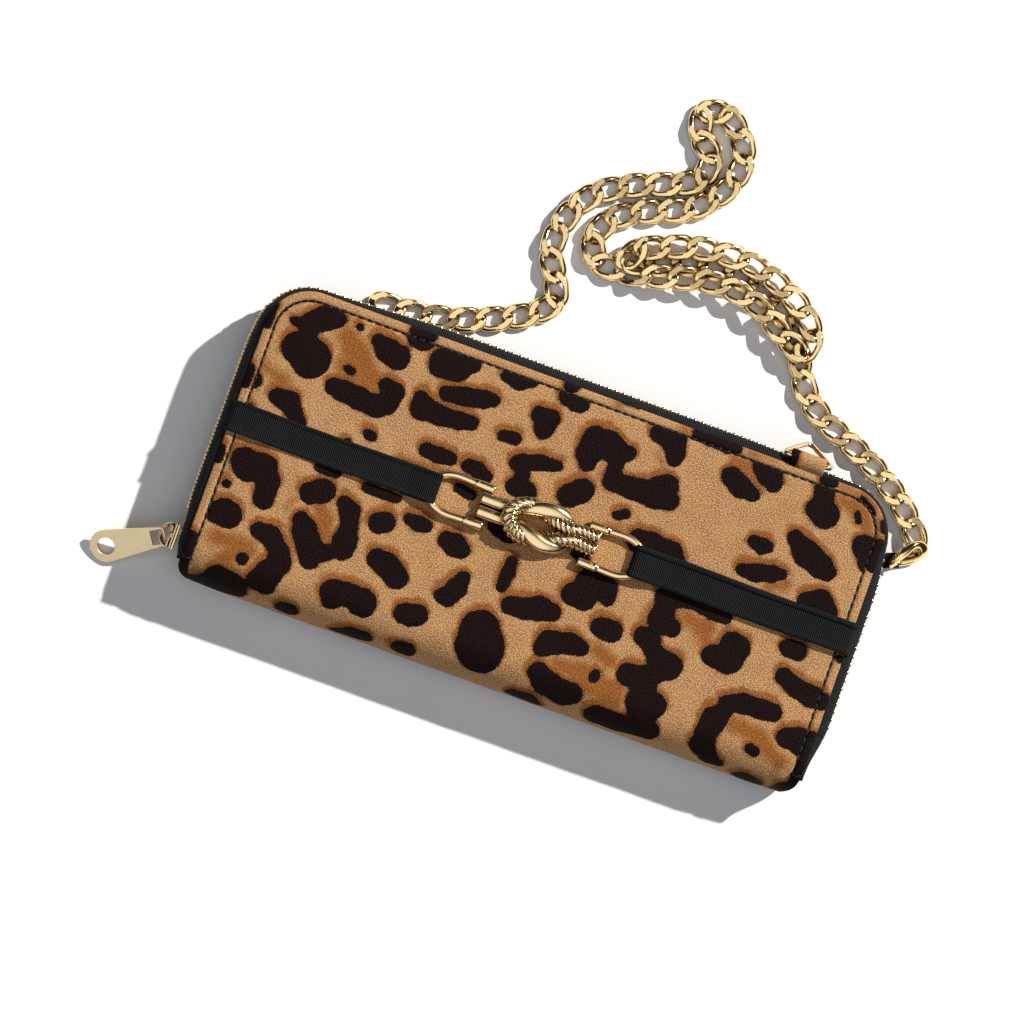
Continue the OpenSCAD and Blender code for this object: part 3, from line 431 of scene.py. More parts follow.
# height over the flat sheet: raised rim, stitched groove, a soft swell and creases
sewn = np.clip(1 - (fold_y - 6 - v_grid) / 6, 0, 1) + np.clip(1 - (v_grid - 2 * mid_v + fold_y + 6) / 6, 0, 1)
groove = -0.34 * np.exp(-((inside - seam_in) / 0.28) ** 2) * sewn
rim = 0.22 * np.clip(inside / 0.6, 0, 1) * np.clip((seam_in - inside) / 0.8, 0, 1) * sewn
swell = 0.55 * np.clip((inside - seam_in) / 9, 0, 1) ** 0.6 * (1 - 0.5 * np.sin(on_roll))
creased = np.clip((np.abs(x_grid) - 80) / 14, 0, 1) * np.exp(-((v_grid + 44) / 7) ** 2)
lift = (groove + rim + swell - 0.15 + 0.16 * ripple(19, 14, 1.3) + 0.07 * ripple(6, 5, 4.1)
        + creased * 0.5 * ripple(3.1, 8, 7.7))
lift = np.where(inside < 0, lift * np.clip(1 + inside / 1.2, 0, 1), lift)

y_pos = np.where(flat_v >= fold_y, flat_v, np.where(on_roll >= math.pi, fold_y + back_fold - flat_v,
                                                     fold_y - roll * np.sin(on_roll)))
y_pos = y_pos - np.sin(on_roll) * (lift - drop)
z_pos = roll + roll * np.cos(on_roll) + np.cos(on_roll) * (lift - drop)

x_real = flat_x + side_out * np.sign(flat_x)
on_rim = inside < 2.27
print_values = {
    "spot": np.where(on_rim, print_distance(rim_spots, x_real, v_grid), print_distance(spots, x_real, v_grid)),
    "halo": np.where(on_rim, print_distance(rim_spots, x_real + 0.4, v_grid - 0.9),
                     print_distance(spots, x_real + 0.5, v_grid - 1.1)),
    "warm": print_distance(warm_strokes, x_real, v_grid, 2.0),
    # seam: distance from the stitched groove, where shade is painted
    "seam": np.where(sewn > 0.5, inside - seam_in, 5.0)}
sheet = bmesh.new()
bmesh.ops.create_grid(sheet, x_segments=len(sheet_x) - 1, y_segments=len(sheet_v) - 1, size=1)
for name in print_values:
    sheet.verts.layers.float.new(name)
layers = [(sheet.verts.layers.float[name], values) for name, values in print_values.items()]
cloth = sheet.verts.layers.float_vector.new("cloth")
for k, vert in enumerate(sorted(sheet.verts, key=lambda v: (round(v.co.x, 5), round(v.co.y, 5)))):
    vert.co = Vector((flat_x.flat[k], y_pos.flat[k], z_pos.flat[k])) / 1000
    vert[cloth] = Vector((x_grid.flat[k], v_grid.flat[k], 0))
    for layer, values in layers:
        vert[layer] = values.flat[k]


def leopard(name):
    """Coated leather with the print: black spots, rust round them, a fine pebble grain."""
    material, tree, shader = new_material(name)

    def value(layer):
        node = add_node(tree, "Attribute", attribute_name=layer)
        return node.outputs["Vector" if layer == "cloth" else "Fac"]

    def maths(operation, *inputs):
        return add_node(tree, "Math", enumerate(inputs), operation=operation).outputs[0]

    def spread(given, low, high):
        return add_node(tree, "MapRange", {"Value": given, "From Min": low, "From Max": high},
                        interpolation_type="SMOOTHSTEP").outputs["Result"]

    def grain(scale, detail):
        node = add_node(tree, "TexNoise", {"Vector": value("cloth"), "Scale": scale, "Detail": detail})
        return node.outputs["Fac"]

    def blend(factor, *pair):
        first, second = [given + (1,) if isinstance(given, tuple) else given for given in pair]
        node = add_node(tree, "Mix", {"Factor": factor, "A": first, "B": second}, data_type="RGBA")
        return node.outputs["Result"]

    def swing(given, size):
        return maths("MULTIPLY", maths("SUBTRACT", given, 0.5), size)

    fine, wavy, cloudy = grain(2.6, 1.0), grain(0.45, 2.0), grain(0.16, 3.0)
    rusty = maths("ADD", swing(cloudy, 3.2), swing(wavy, 1.8))
    halo, warm = (maths("ADD", value(layer), rusty) for layer in ("halo", "warm"))
    edge = maths("ADD", value("spot"), maths("ADD", swing(wavy, 0.9), swing(fine, 0.5)))
    black = spread(edge, 0.05, -0.3)
    rim = maths("MULTIPLY", spread(edge, 0.75, 0.1), spread(halo, 1.9, 0.0))
    rust = maths("MAXIMUM", maths("MULTIPLY", spread(halo, 1.5, -0.2), 0.95),
                 maths("MULTIPLY", spread(warm, 2.0, -2.0), 0.95))
    tan = blend(spread(cloudy, 0.3, 0.7), (0.255, 0.111, 0.034), (0.330, 0.152, 0.050))
    tan = blend(rust, tan, (0.165, 0.046, 0.006))
    tan = blend(maths("MULTIPLY", rim, 0.75), tan, (0.040, 0.012, 0.005))
    speck = spread(fine, 0.42, 0.62)
    # painted shade: the stitched groove is darkened towards near black
    seam = maths("MULTIPLY", spread(maths("ABSOLUTE", value("seam")), 0.5, 0.12), 0.6)
    light = blend(rust, (0.60, 0.395, 0.205), (0.365, 0.140, 0.032))
    tan = blend(maths("MULTIPLY", speck, 0.62), blend(0.30, tan, (0.075, 0.029, 0.009)), light)
    dark = blend(maths("MULTIPLY", speck, 0.36), (0.0030, 0.0013, 0.0012), (0.031, 0.015, 0.013))
    printed = blend(black, tan, dark)
    cells = add_node(tree, "TexVoronoi", {"Vector": value("cloth"), "Scale": 1.9}).outputs["Distance"]
    pebbles = maths("ADD", maths("MULTIPLY", cells, -0.8), fine)
    feed(tree, shader, {"Base Color": blend(seam, printed, (0.012, 0.006, 0.005)), "Roughness": 0.55,
                        "Specular IOR Level": 0.03, "Normal": bumped(tree, pebbles, 0.8, 0.00017)})
    return material


def thicken(sheet, thickness, offset=0):
    """Gives a thin sheet its thickness, in metres: on both sides, or inwards at -1."""
    modifier = sheet.modifiers.new("thickness", "SOLIDIFY")
    modifier.thickness, modifier.offset = thickness, offset


leather = leopard("leopard_leather")
printed_cover = finish_piece("printed_cover", sheet, leather)
thicken(printed_cover, 0.0005, -1)
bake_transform(printed_cover, "back_half", "front_half", start=(0, -0.047, 0.004), end=(0, -0.047, 0.018))
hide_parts("front_skin", "spine_skin", "back_skin")

# Stitches: one row of slanting black thread through the groove along three sides
# of each half, pulled down into the leather at their ends.
thread, thread_tree, thread_shader = new_material("thread")
fuzz = add_node(thread_tree, "TexNoise", {"Vector": add_node(thread_tree, "TexCoord").outputs["Object"],
                                          "Scale": 2500})
# painted glints: the thread's near-black colour is lifted in small flecks
painted_glint = add_node(thread_tree, "MapRange", {"Value": fuzz.outputs["Fac"], "From Min": 0.5, "To Min": 0.002,
                                           "To Max": 0.07})
feed(thread_tree, thread_shader, {"Base Color": painted_glint.outputs["Result"], "Roughness": 0.4,
                                  "Specular IOR Level": 0.12})


def zip_way(s):
    """Place and outward direction on the covers' outline, s mm along it from the left end."""
    side, arc, top = top_y - corner - side_low, corner * math.pi / 2, 2 * (half_x - corner)
    if s < side:
        return Vector((-half_x, side_low + s)), Vector((-1, 0))
    if s < side + arc:
        turn = (s - side) / corner
        return (Vector((corner - half_x - corner * math.cos(turn), top_y - corner + corner * math.sin(turn))),
                Vector((-math.cos(turn), math.sin(turn))))
    if s <= side + arc + top:
        return Vector((s - side - arc + corner - half_x, top_y)), Vector((0, 1))
    place, out = zip_way(2 * (side + arc) + top - s)
    return Vector((-place.x, place.y)), Vector((-out.x, out.y))


zip_length = 2 * (top_y - corner - side_low + corner * math.pi / 2) + 2 * (half_x - corner)
seam_start, seam_from_edge, stitch_pitch = 6, 3.05, 2.75
seam_length = zip_length - 2 * seam_start
stitch_count = round(seam_length / stitch_pitch)
stitch = bmesh.new()
bmesh.ops.create_uvsphere(stitch, u_segments=8, v_segments=6, radius=1)
bmesh.ops.scale(stitch, vec=(1.3, 0.58, 0.36), verts=stitch.verts)
surface = np.stack([flat_x, y_pos, z_pos], axis=-1).reshape(-1, 3)
for half, facing in (("front", 1), ("back", -1)):
    row = bmesh.new()
    skin = surface[(surface[:, 2] > middle) if facing > 0 else (surface[:, 2] < middle)]
    for k in range(stitch_count):
        place, out = zip_way(seam_start + seam_length * k / (stitch_count - 1))
        seat = place - out * seam_from_edge
        height = skin[np.argmin((skin[:, 0] - seat.x) ** 2 + (skin[:, 1] - seat.y) ** 2), 2]
        lean = Matrix.Rotation(math.atan2(-out.x, out.y) + math.radians(9), 4, "Z")
        seat_3d = Vector((seat.x, seat.y, height + facing * 0.17)) / 1000
        add_copy(row, stitch, Matrix.Translation(seat_3d) @ lean @ Matrix.Scale(0.001, 4))
    stitches = finish_piece("stitches_" + half, row, thread)
    fit(stitches, half + "_half", "printed_skin")
stitch.free()

# ---------------------------------------------------------------- zip tape and teeth
# Black woven tape sewn in under both covers' edges. It bulges out over the zip
# and clasps two rows of gold teeth, whose tips peep out along its edge.


def mapped_grid(columns, lines, place, cloth_at=None):
    """A sheet of columns by lines points, each where place(column, line) puts it."""
    bm = bmesh.new()
    bmesh.ops.create_grid(bm, x_segments=columns - 1, y_segments=lines - 1, size=1)
    layer = bm.verts.layers.float_vector.new("cloth") if cloth_at else None
    for k, vert in enumerate(sorted(bm.verts, key=lambda v: (round(v.co.x, 5), round(v.co.y, 5)))):
        vert.co = place(k // lines, k % lines)
        if cloth_at:
            vert[layer] = Vector(cloth_at(k // lines, k % lines))
    return bm


def cloth_material(name, colour, painted_glint, ribs):
    """Black woven cloth: ribs across its length (per mm), with painted highlights: rib crests and thread flecks
    are lit towards a glint colour.
    """
    material, tree, shader = new_material(name)
    where = add_node(tree, "Attribute", attribute_name="cloth").outputs["Vector"]
    rib = add_node(tree, "TexWave", {"Vector": where, "Scale": ribs * 0.314, "Distortion": 0.7,
                                     "Detail Scale": 3.0}).outputs["Fac"]
    thread = add_node(tree, "TexVoronoi", {"Vector": where, "Scale": 3.4}).outputs["Distance"]
    fleck = add_node(tree, "MapRange", {"Value": thread, "From Min": 0.30, "From Max": 0.05}).outputs["Result"]
    # painted sheen: thread flecks and rib crests lighten the cloth towards the painted glint colour
    thread_highlight = add_node(tree, "Math", {0: fleck, 1: 0.75, 2: 0.25}, operation="MULTIPLY_ADD").outputs[0]
    highlight_amount = add_node(tree, "Math", {0: thread_highlight, 1: rib}, operation="MULTIPLY").outputs[0]
    tone = add_node(tree, "Mix", {"Factor": highlight_amount, "A": colour + (1,), "B": painted_glint + (1,)}, data_type="RGBA")
    height = add_node(tree, "Math", {0: rib, 1: fleck}, operation="ADD").outputs[0]
    feed(tree, shader, {"Base Color": tone.outputs["Result"], "Roughness": 0.72, "Specular IOR Level": 0.04,
                        "Normal": bumped(tree, height, 0.9, 0.0002)})
    return material


tape_cloth = cloth_material("tape_cloth", (0.0034, 0.0038, 0.0046), (0.085, 0.089, 0.096), 1.6)
zip_gold = gold("zip_gold", (0.90, 0.66, 0.33), 0.22, 0.3)


def ease(value, low, high):
    """Rises smoothly from 0 at low to 1 at high."""
    t = min(1, max(0, (value - low) / (high - low)))
    return t * t * (3 - 2 * t)


def zip_reach(s):
    """How far the zip stands out from the covers' edge: it bulges between its corners."""
    place, _ = zip_way(s)
    if place.y < top_y - 9 and place.x < 0:
        return (3.0 + 0.65 * ease(place.y, -34, -20) - 1.0 * ease(place.y, 25, 40)
                - 1.2 * (1 - ease(place.y, -42.5, -36)))
    if place.y < top_y - 9:
        return 2.0 + 2.4 * ease(place.y, -41, -24) - 1.9 * ease(place.y, 18, 40)
    return 2.35 + 1.7 * (ease(place.x, -88, -45) - ease(place.x, 52, 88))


def zip_point(s, out, z):
    """The point that lies out mm beyond the covers' edge at a height of z mm, in metres."""
    place, way = zip_way(s)
    return Vector((place.x + way.x * out, place.y + way.y * out, z)) / 1000


sewn_in = 0.18                   # the share of the tape's width that is under the cover
cloth_short, tooth_short = 0.95, 0.63        # how far the cloth and the teeth end short of the zip's reach


def tape_section(t, reach):
    """Way out and height over the middle, from under the cover (t = 0) to the teeth (t = 1)."""
    if t < sewn_in:
        return -3.5 + 3.5 * t / sewn_in, 9.55
    turn = (t - sewn_in) / (1 - sewn_in) * math.pi / 2
    return ((reach - cloth_short) * max(0, math.sin(turn)) ** 0.85,
            2.3 + 7.25 * max(0, math.cos(turn)) ** 0.8)


def tape_sheet(name, start, end, lines, side, whole):
    """Zip tape from start to end mm along the outline: one side's, or both as one fold."""
    columns = max(2, round((end - start) / 1.3))

    def place(i, j):
        s = start + (end - start) * i / (columns - 1)
        t = j / (lines - 1)
        if whole:
            t = 2 * t
            out, up = tape_section(min(t, 2 - t), zip_reach(s))
            up = up if t < 1 else -up
        else:
            out, up = tape_section(t, zip_reach(s))
            up = up * side
        wave = 0.05 * noise.noise(Vector((s / 2.6, t * 3, side)))
        return zip_point(s, out + wave, middle + up)

    sheet = mapped_grid(columns, lines, place,
                        lambda i, j: ((end - start) * i / (columns - 1), 13.0 * j / (lines - 1), side))
    tape = finish_piece(name, sheet, tape_cloth)
    thicken(tape, 0.0004)
    return tape


fold_end = 14.2                  # how far up from its ends the zip bends as the cover opens
for half, side in (("front", 1), ("back", -1)):
    tape = tape_sheet("tape_" + half, fold_end, zip_length - fold_end, 12, side, False)
    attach(tape, half + "_half")
    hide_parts("zip_tape_" + half)
for hand, start, end in (("left", 0, fold_end + 0.4), ("right", zip_length - fold_end - 0.4, zip_length)):
    fold = tape_sheet("tape_end_" + hand, start, end, 25, 1, True)
    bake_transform(fold, "back_half", "front_half", start=(0, -0.030, 0.0102), end=(0, -0.030, 0.0128))
    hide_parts("zip_end_" + hand)

tooth_pitch = 2.6
tooth = bmesh.new()
bmesh.ops.create_cube(tooth, size=1)
bmesh.ops.scale(tooth, vec=(1.35, 1.15, 1.9), verts=tooth.verts)
bmesh.ops.bevel(tooth, geom=tooth.edges[:], offset=0.3, segments=1, profile=0.5, affect="EDGES", material=-1)
for half, side, shift in (("front", 1, 0), ("back", -1, tooth_pitch / 2)):
    row = bmesh.new()
    for k in range(int((zip_length - 2 * fold_end - 2) / tooth_pitch)):
        s = fold_end + 1.4 + shift + tooth_pitch * k
        out = zip_way(s)[1]
        seat = zip_point(s, zip_reach(s) - tooth_short, middle + side * 1.27)
        turned = Matrix(((out.y, out.x, 0), (-out.x, out.y, 0), (0, 0, 1))).to_4x4()
        add_copy(row, tooth, Matrix.Translation(seat) @ turned @ Matrix.Scale(0.001, 4))
    teeth = finish_piece("teeth_" + half, row, zip_gold)
    fit(teeth, half + "_half", "zip_teeth", "zip_teeth_" + half)
tooth.free()

# ---------------------------------------------------------------- slider, bail and pull
# Die-cast gold slider with a post between the rows of teeth, a wire bail in its
# lug and a flat pull with a window and a round hole, which lies on the table.


def ring_tube(name, points, material, radius=0, up=Vector((0, 0, 1)), sides=12, closed=True, size_at=None):
    """A tube through points in metres, closed or with flat ends. Where it isn't one
    round wire, size_at gives its half width and half height, from 0 to 1 along it."""
    count = len(points)

    def frame_at(k):
        before = points[k - 1] if closed or k else points[0]
        after = points[(k + 1) % count] if closed or k < count - 1 else points[-1]
        ahead = (after - before).normalized()
        across = up.cross(ahead).normalized()
        return points[k], across, ahead.cross(across)

    def place(i, j):
        centre, across, high = frame_at(i % count)
        wide, tall = size_at(i / (count - 1)) if size_at else (radius, radius)
        turn = 2 * math.pi * (j % sides) / sides
        return centre + across * wide * math.cos(turn) + high * tall * math.sin(turn)

    bm = mapped_grid(count + 1 if closed else count, sides + 1, place,
                     lambda i, j: (i, 6.283 * j / sides, 0))
    bmesh.ops.remove_doubles(bm, verts=bm.verts, dist=1e-7)
    if not closed:
        bmesh.ops.holes_fill(bm, edges=[e for e in bm.edges if e.is_boundary])
    return finish_piece(name, bm, material)


def plate(name, outline, holes, thick, bevel, material, to_frame):
    """A flat plate from outlines in mm, its edges eased, put in place by to_frame."""
    curve = bpy.data.curves.new(name, "CURVE")
    curve.dimensions = "2D"
    curve.fill_mode = "BOTH"
    for way in [outline] + holes:
        spline = curve.splines.new("POLY")
        spline.points.add(len(way) - 1)
        for point, (x, y) in zip(spline.points, way):
            point.co = (x / 1000, y / 1000, 0, 1)
        spline.use_cyclic_u = True
    curve.extrude = (thick / 2 - bevel) / 1000
    curve.bevel_depth = bevel / 1000
    curve.bevel_resolution = 2
    curve.offset = -bevel / 1000
    holder = bpy.data.objects.new(name + "_curve", curve)
    bpy.context.scene.collection.objects.link(holder)
    bpy.context.view_layer.update()
    mesh = bpy.data.meshes.new_from_object(holder)
    bpy.data.objects.remove(holder)
    bm = bmesh.new()
    bm.from_mesh(mesh)
    bmesh.ops.remove_doubles(bm, verts=bm.verts, dist=1e-6)
    bmesh.ops.transform(bm, matrix=to_frame, verts=bm.verts)
    return finish_piece(name, bm, material, smooth=False)


def block(bm, centre, size, bevel):
    """Adds an eased box to a bmesh: centre and size in mm."""
    made = bmesh.ops.create_cube(bm, size=1)["verts"]
    bmesh.ops.scale(bm, vec=size, verts=made)
    bmesh.ops.translate(bm, vec=centre, verts=made)
    edges = list({edge for vert in made for edge in vert.link_edges})
    bmesh.ops.bevel(bm, geom=edges, offset=bevel, segments=2, profile=0.5, affect="EDGES", material=-1)


fitting_gold = gold("fitting_gold", (0.95, 0.70, 0.37), 0.16, 0.18)
pull_gold = gold("pull_gold", (0.98, 0.78, 0.46), 0.34, 0.35)
plate_out, bail_out, bail_radius = 3.75, 5.15, 3.4
slider = bmesh.new()
block(slider, (-half_x - plate_out - 0.4, fold_y, middle), (0.8, 8.2, 7.6), 0.3)
block(slider, (-half_x - 0.9, fold_y, middle), (0.8, 7.2, 5.6), 0.3)
block(slider, (-half_x - 2.1, fold_y + 1.9, middle), (3.6, 1.9, 0.56), 0.12)
for side in (-1, 1):
    block(slider, (-half_x - 3.4, fold_y, middle + side * 3.3), (0.9, 8.0, 0.9), 0.25)
block(slider, (-half_x - bail_out + 0.4, fold_y + 0.1, middle), (1.7, 1.9, 1.7), 0.45)
bmesh.ops.scale(slider, vec=(0.001,) * 3, verts=slider.verts)
fit(finish_piece("slider", slider, fitting_gold, smooth=False),
    "zip_slider_body", "gold_fittings", "zip_slider")

bail_frame = (Matrix.Translation(Vector((-half_x - bail_out, fold_y, middle)) / 1000)
              @ Matrix.Rotation(math.pi, 4, "Z") @ Matrix.Rotation(math.radians(35), 4, "Y"))
bail_way = [Vector((bail_radius * math.sin(math.pi * k / 24), -bail_radius * math.cos(math.pi * k / 24), 0))
            for k in range(25)]
bail_way += [Vector((0, bail_radius - 2 * bail_radius * k / 8, 0)) for k in range(1, 8)]
bail = ring_tube("bail", [bail_frame @ (p / 1000) for p in bail_way], fitting_gold, 0.00064,
                 bail_frame.to_3x3() @ Vector((0, 0, 1)))
fit(bail, "zip_bail_body", "gold_fittings", "zip_bail")

pull_start = Vector((-half_x - bail_out - 1.4745, fold_y - 0.75, middle - 1.0324)) / 1000
pull_frame = (Matrix.Translation(pull_start) @ Matrix.Rotation(math.radians(209), 4, "Z")
              @ Matrix.Rotation(math.radians(21), 4, "Y") @ Matrix.Rotation(math.radians(-18), 4, "X"))
eye_out, eye_radius, hole_radius, neck_half = 19.3, 5.2, 2.8, 3.0
taper = math.asin((eye_radius - neck_half) / 19.65)
pull_edge = [(0.5, neck_half), (-0.25, 2.5), (-0.25, -2.5), (0.5, -neck_half)] + [
    (eye_out + eye_radius * math.cos(a), eye_radius * math.sin(a))
    for a in [(math.pi / 2 + taper) * k / 28 for k in range(-28, 29)]]
hole = [(eye_out + hole_radius * math.cos(a), hole_radius * math.sin(a))
        for a in [math.pi * k / 24 for k in range(48)]]
window = [(0.35, -2.3), (4.4, -2.3), (4.4, 2.3), (0.35, 2.3)]
fit(plate("pull", pull_edge, [hole, window], 0.8, 0.14, pull_gold, pull_frame),
    "zip_pull_body", "gold_pull", "zip_pull")

# ---------------------------------------------------------------- strap and shackles
# Black ribbed ribbon with piped edges, sewn down at both ends. Each half folds
# round the crossbar of a U-shaped gold shackle, whose arms end in sleeved tips.
strap_mid, bar_height, ribbon_half, fold_radius = 3.2, 23.8, 4.8, 1.45
ribbon_cloth = cloth_material("ribbon_cloth", (0.0010, 0.0011, 0.0013), (0.066, 0.069, 0.073), 1.56)
for hand, direction, bar_x in (("left", 1, -35.1), ("right", -1, 30.7)):
    far = half_x + 0.3 - abs(bar_x)
    # side view, from the sewn end along the top, round the bar and back underneath
    way = [Vector((-far - 0.5, 20.6)), Vector((-far - 0.15, 22.0)), Vector((-far + 0.4, 23.0))]
    way += [Vector((-far + 1 + (far - 12) * k / 40, 23.55 - 0.35 * ease(k, 34, 20) + 0.3 * ease(k, 0, 6)
                    - 0.3 * ease(k, 6, 14))) for k in range(41)]
    way += [Vector((-9 + 7.5 * k / 12, 23.6 + 1.55 * ease(k, 0, 12))) for k in range(12)]
    way += [Vector((fold_radius * math.sin(turn), bar_height + fold_radius * math.cos(turn)))
            for turn in [math.pi * k / 12 for k in range(13)]]
    way += [Vector((-1.5 - 8 * k / 8, 22.4)) for k in range(9)]
    runs = [0.0]
    for p, q in zip(way, way[1:]):
        runs.append(runs[-1] + (q - p).length)
    piped = [3.5, 3.65, 3.85, 4.2, 4.55, 4.75, ribbon_half]
    across = [-y for y in reversed(piped)] + [-3 + k for k in range(7)] + piped

    def place(i, j):
        here = way[i]
        ahead = (way[min(i + 1, len(way) - 1)] - way[max(i - 1, 0)]).normalized()
        y = across[j]
        piping = 0.30 * math.cos((abs(y) - 4.2) / 0.6 * math.pi / 2) if abs(y) > 3.6 else -0.05
        sag = 0.10 * math.sin(here.x / 5.3 + (1 if y > 0 else 0)) * abs(y) / ribbon_half
        lift = piping + sag * (1 if 3 < i < 44 else 0)
        x, z = here.x - ahead.y * lift, here.y + ahead.x * lift
        edge = 0.12 * math.sin(runs[i] / 9 + 1.3)
        return Vector((bar_x + direction * x, strap_mid + y + edge, z)) / 1000

    ribbon = mapped_grid(len(way), len(across), place, lambda i, j: (runs[i], across[j] * 0.9, 0))
    strap = finish_piece("strap_" + hand + "_ribbon", ribbon, ribbon_cloth)
    thicken(strap, 0.0006, -1)
    fit(strap, "front_half", "ribbon", "strap_" + hand)

    # shackle: crossbar inside the fold, arms that curve out to their sleeves
    half_way = [(-0.3, 0), (0.0, 2.0), (0.15, 3.6), (0.8, 4.6), (2.2, 5.35), (4.2, 5.95), (6.5, 6.15),
                (9.5, 6.05), (11.2, 5.95), (11.4, 5.95), (11.6, 5.95), (12.0, 5.95), (14.5, 5.9), (16.8, 5.85),
                (17.4, 5.85)]
    fine = smooth_way([Vector((x, y, 0)) for x, y in half_way], 0.4)[0]
    fine = [Vector((p.x, -p.y, 0)) for p in reversed(fine)] + fine[1:]
    rod = [Vector((bar_x + direction * p.x, strap_mid + p.y, bar_height)) / 1000 for p in fine]

    def rod_size(t):
        x = fine[min(len(fine) - 1, round(t * (len(fine) - 1)))].x
        swell = 0.00036 * ease(x, 11.2, 11.5) - 0.00012 * math.exp(-((x - 12.6) / 0.25) ** 2)
        return 0.00122 + swell, 0.00115 + swell

    shackle = ring_tube("shackle_" + hand + "_rod", rod, fitting_gold, sides=14, closed=False, size_at=rod_size)
    fit(shackle, "front_half", "gold_fittings", "shackle_" + hand)

# ---------------------------------------------------------------- knot ornament
# Cast gold square knot of two strands, one smooth and swelling like two leaves,
# one twisted like rope. A thin pin through the shackles' tips holds each end.
smooth_route = [(-20.8, 5.6, 24.1), (-17, 5.6, 24.1), (-13.4, 5.6, 24.0), (-9.8, 5.9, 24.2), (-6.5, 7.0, 25.3),
                (-2.5, 8.3, 26.2), (2, 8.9, 26.1), (6, 8.2, 25.2), (8.3, 6.4, 24.2), (8.9, 3.6, 23.9),
                (8.2, 0.7, 24.2), (5.6, -1.2, 25.2), (1.6, -1.7, 26.0), (-2.6, -0.6, 26.2), (-6.3, 1.1, 25.3),
                (-9.8, 1.6, 24.2), (-13.4, 1.4, 24.0), (-17, 1.4, 24.1), (-20.8, 1.4, 24.1)]
smooth_line = smooth_way([Vector(p) for p in smooth_route], 0.55)[0]


def leaf_size(t):
    """Tube ends, and a broad flattened leaf on either side of the loop."""
    leaf = math.exp(-((abs(t - 0.5) - 0.19) / 0.085) ** 2)
    end = 0.4 * ease(abs(t - 0.5), 0.34, 0.38)
    wide = 1.62 - 0.25 * math.exp(-(abs(t - 0.5) / 0.06) ** 2) + 0.85 * leaf + end
    return wide / 1000, (1.5 - 0.1 * leaf + 0.5 * end) / 1000


smooth_strand = ring_tube("knot_smooth_strand", [p / 1000 for p in smooth_line], fitting_gold,
                          sides=24, closed=False, size_at=leaf_size)
rope_route = [(17.2, 6.0, 24.1), (13, 5.9, 24.7), (8.8, 5.6, 26.3), (5.2, 6.0, 25.6), (1.8, 6.9, 24.2),
              (-1.6, 8.0, 23.9), (-5.0, 8.6, 24.4), (-8.4, 7.6, 25.8), (-10.7, 5.2, 26.9), (-11.1, 3.2, 27.1),
              (-10.5, 1.2, 26.9), (-8.0, -1.0, 25.8), (-4.6, -1.7, 24.4), (-1.4, -0.9, 23.9), (1.8, 0.3, 24.2),
              (5.2, 1.6, 25.6), (8.8, 2.2, 26.3), (13, 2.2, 24.7), (17.2, 2.1, 24.1)]
rope_line, rope_total = smooth_way([Vector(p) for p in rope_route], 0.33)
rope_sides, lobes, lay = 40, 5, 1.7      # lay: how far along a twist moves on by one lobe


def rope_place(i, j):
    """A point of the twisted strand, which is thicker round its loop."""
    ahead = (rope_line[min(i + 1, len(rope_line) - 1)] - rope_line[max(i - 1, 0)]).normalized()
    across_rope = Vector((0, 0, 1)).cross(ahead).normalized()
    turn = 2 * math.pi * (j % rope_sides) / rope_sides
    way_along = rope_total * i / (len(rope_line) - 1)
    bulge = abs(math.cos((turn * lobes - way_along * 2 * math.pi / lay) / 2)) ** 0.6
    loop = 1.14 + 0.18 * math.exp(-((i / (len(rope_line) - 1) - 0.5) / 0.17) ** 2)
    radius = (1.26 + 0.78 * bulge) * loop
    return (rope_line[i] + across_rope * radius * math.cos(turn)
            + ahead.cross(across_rope) * radius * math.sin(turn)) / 1000


rope_bm = mapped_grid(len(rope_line), rope_sides + 1, rope_place)
bmesh.ops.remove_doubles(rope_bm, verts=rope_bm.verts, dist=1e-7)
bmesh.ops.holes_fill(rope_bm, edges=[e for e in rope_bm.edges if e.is_boundary])
rope_strand = finish_piece("knot_rope_strand", rope_bm, fitting_gold)
fit(smooth_strand, "front_half", "gold_fittings", "knot_smooth")
fit(rope_strand, "front_half", "gold_fittings", "knot_rope")

# ---------------------------------------------------------------- clip ring and its tab
# A bent-wire triangle that hangs over the top edge from a tab of printed leather.
ring_x, ring_y, ring_z = 70.1, top_y + 2.75, 21.4
hang = Matrix.Translation(Vector((ring_x, ring_y, ring_z)) / 1000) @ Matrix.Rotation(math.radians(-56), 4, "X")
ring_side = [(5.2, 0), (6.9, 0.3), (7.25, 1.3), (6.6, 2.6), (3.6, 6.7), (1.5, 9.4), (0.9, 10.1)]
ring_points = [(-x, y) for x, y in ring_side] + [(0, 10.5)] + ring_side[::-1] + [(0, 0), (-5.2, 0)]
ring_line = smooth_way([Vector((x, y, 0)) for x, y in ring_points], 0.5)[0][:-1]
clip_ring = ring_tube("clip_ring_wire", [hang @ (p / 1000) for p in ring_line], fitting_gold, 0.0008,
                      hang.to_3x3() @ Vector((0, 0, 1)))
fit(clip_ring, "clip_ring_body", "gold_fittings", "clip_ring")

tab_way = [Vector((top_y + out, z)) for out, z in
           ((-0.9, 20.9), (-0.2, 21.05), (0.3, 21.5), (0.9, 22.3), (1.6, 22.8))]
tab_way += [Vector((ring_y + 1.6 * math.cos(a), ring_z + 1.6 * math.sin(a)))
            for a in [math.radians(100 - 21 * k) for k in range(11)]]
tab_across = [-5.5, -5.4, -5.1] + [-4.5 + 0.9 * k for k in range(11)] + [5.1, 5.4, 5.5]


def tab_place(i, j):
    """A point of the tab: up from under the cover's edge and round the wire's bar."""
    ahead = (tab_way[min(i + 1, len(tab_way) - 1)] - tab_way[max(i - 1, 0)]).normalized()
    lift = 0.14 if 2 <= j <= 14 else 0.0
    return Vector((ring_x + tab_across[j], tab_way[i].x - ahead.y * lift, tab_way[i].y + ahead.x * lift)) / 1000


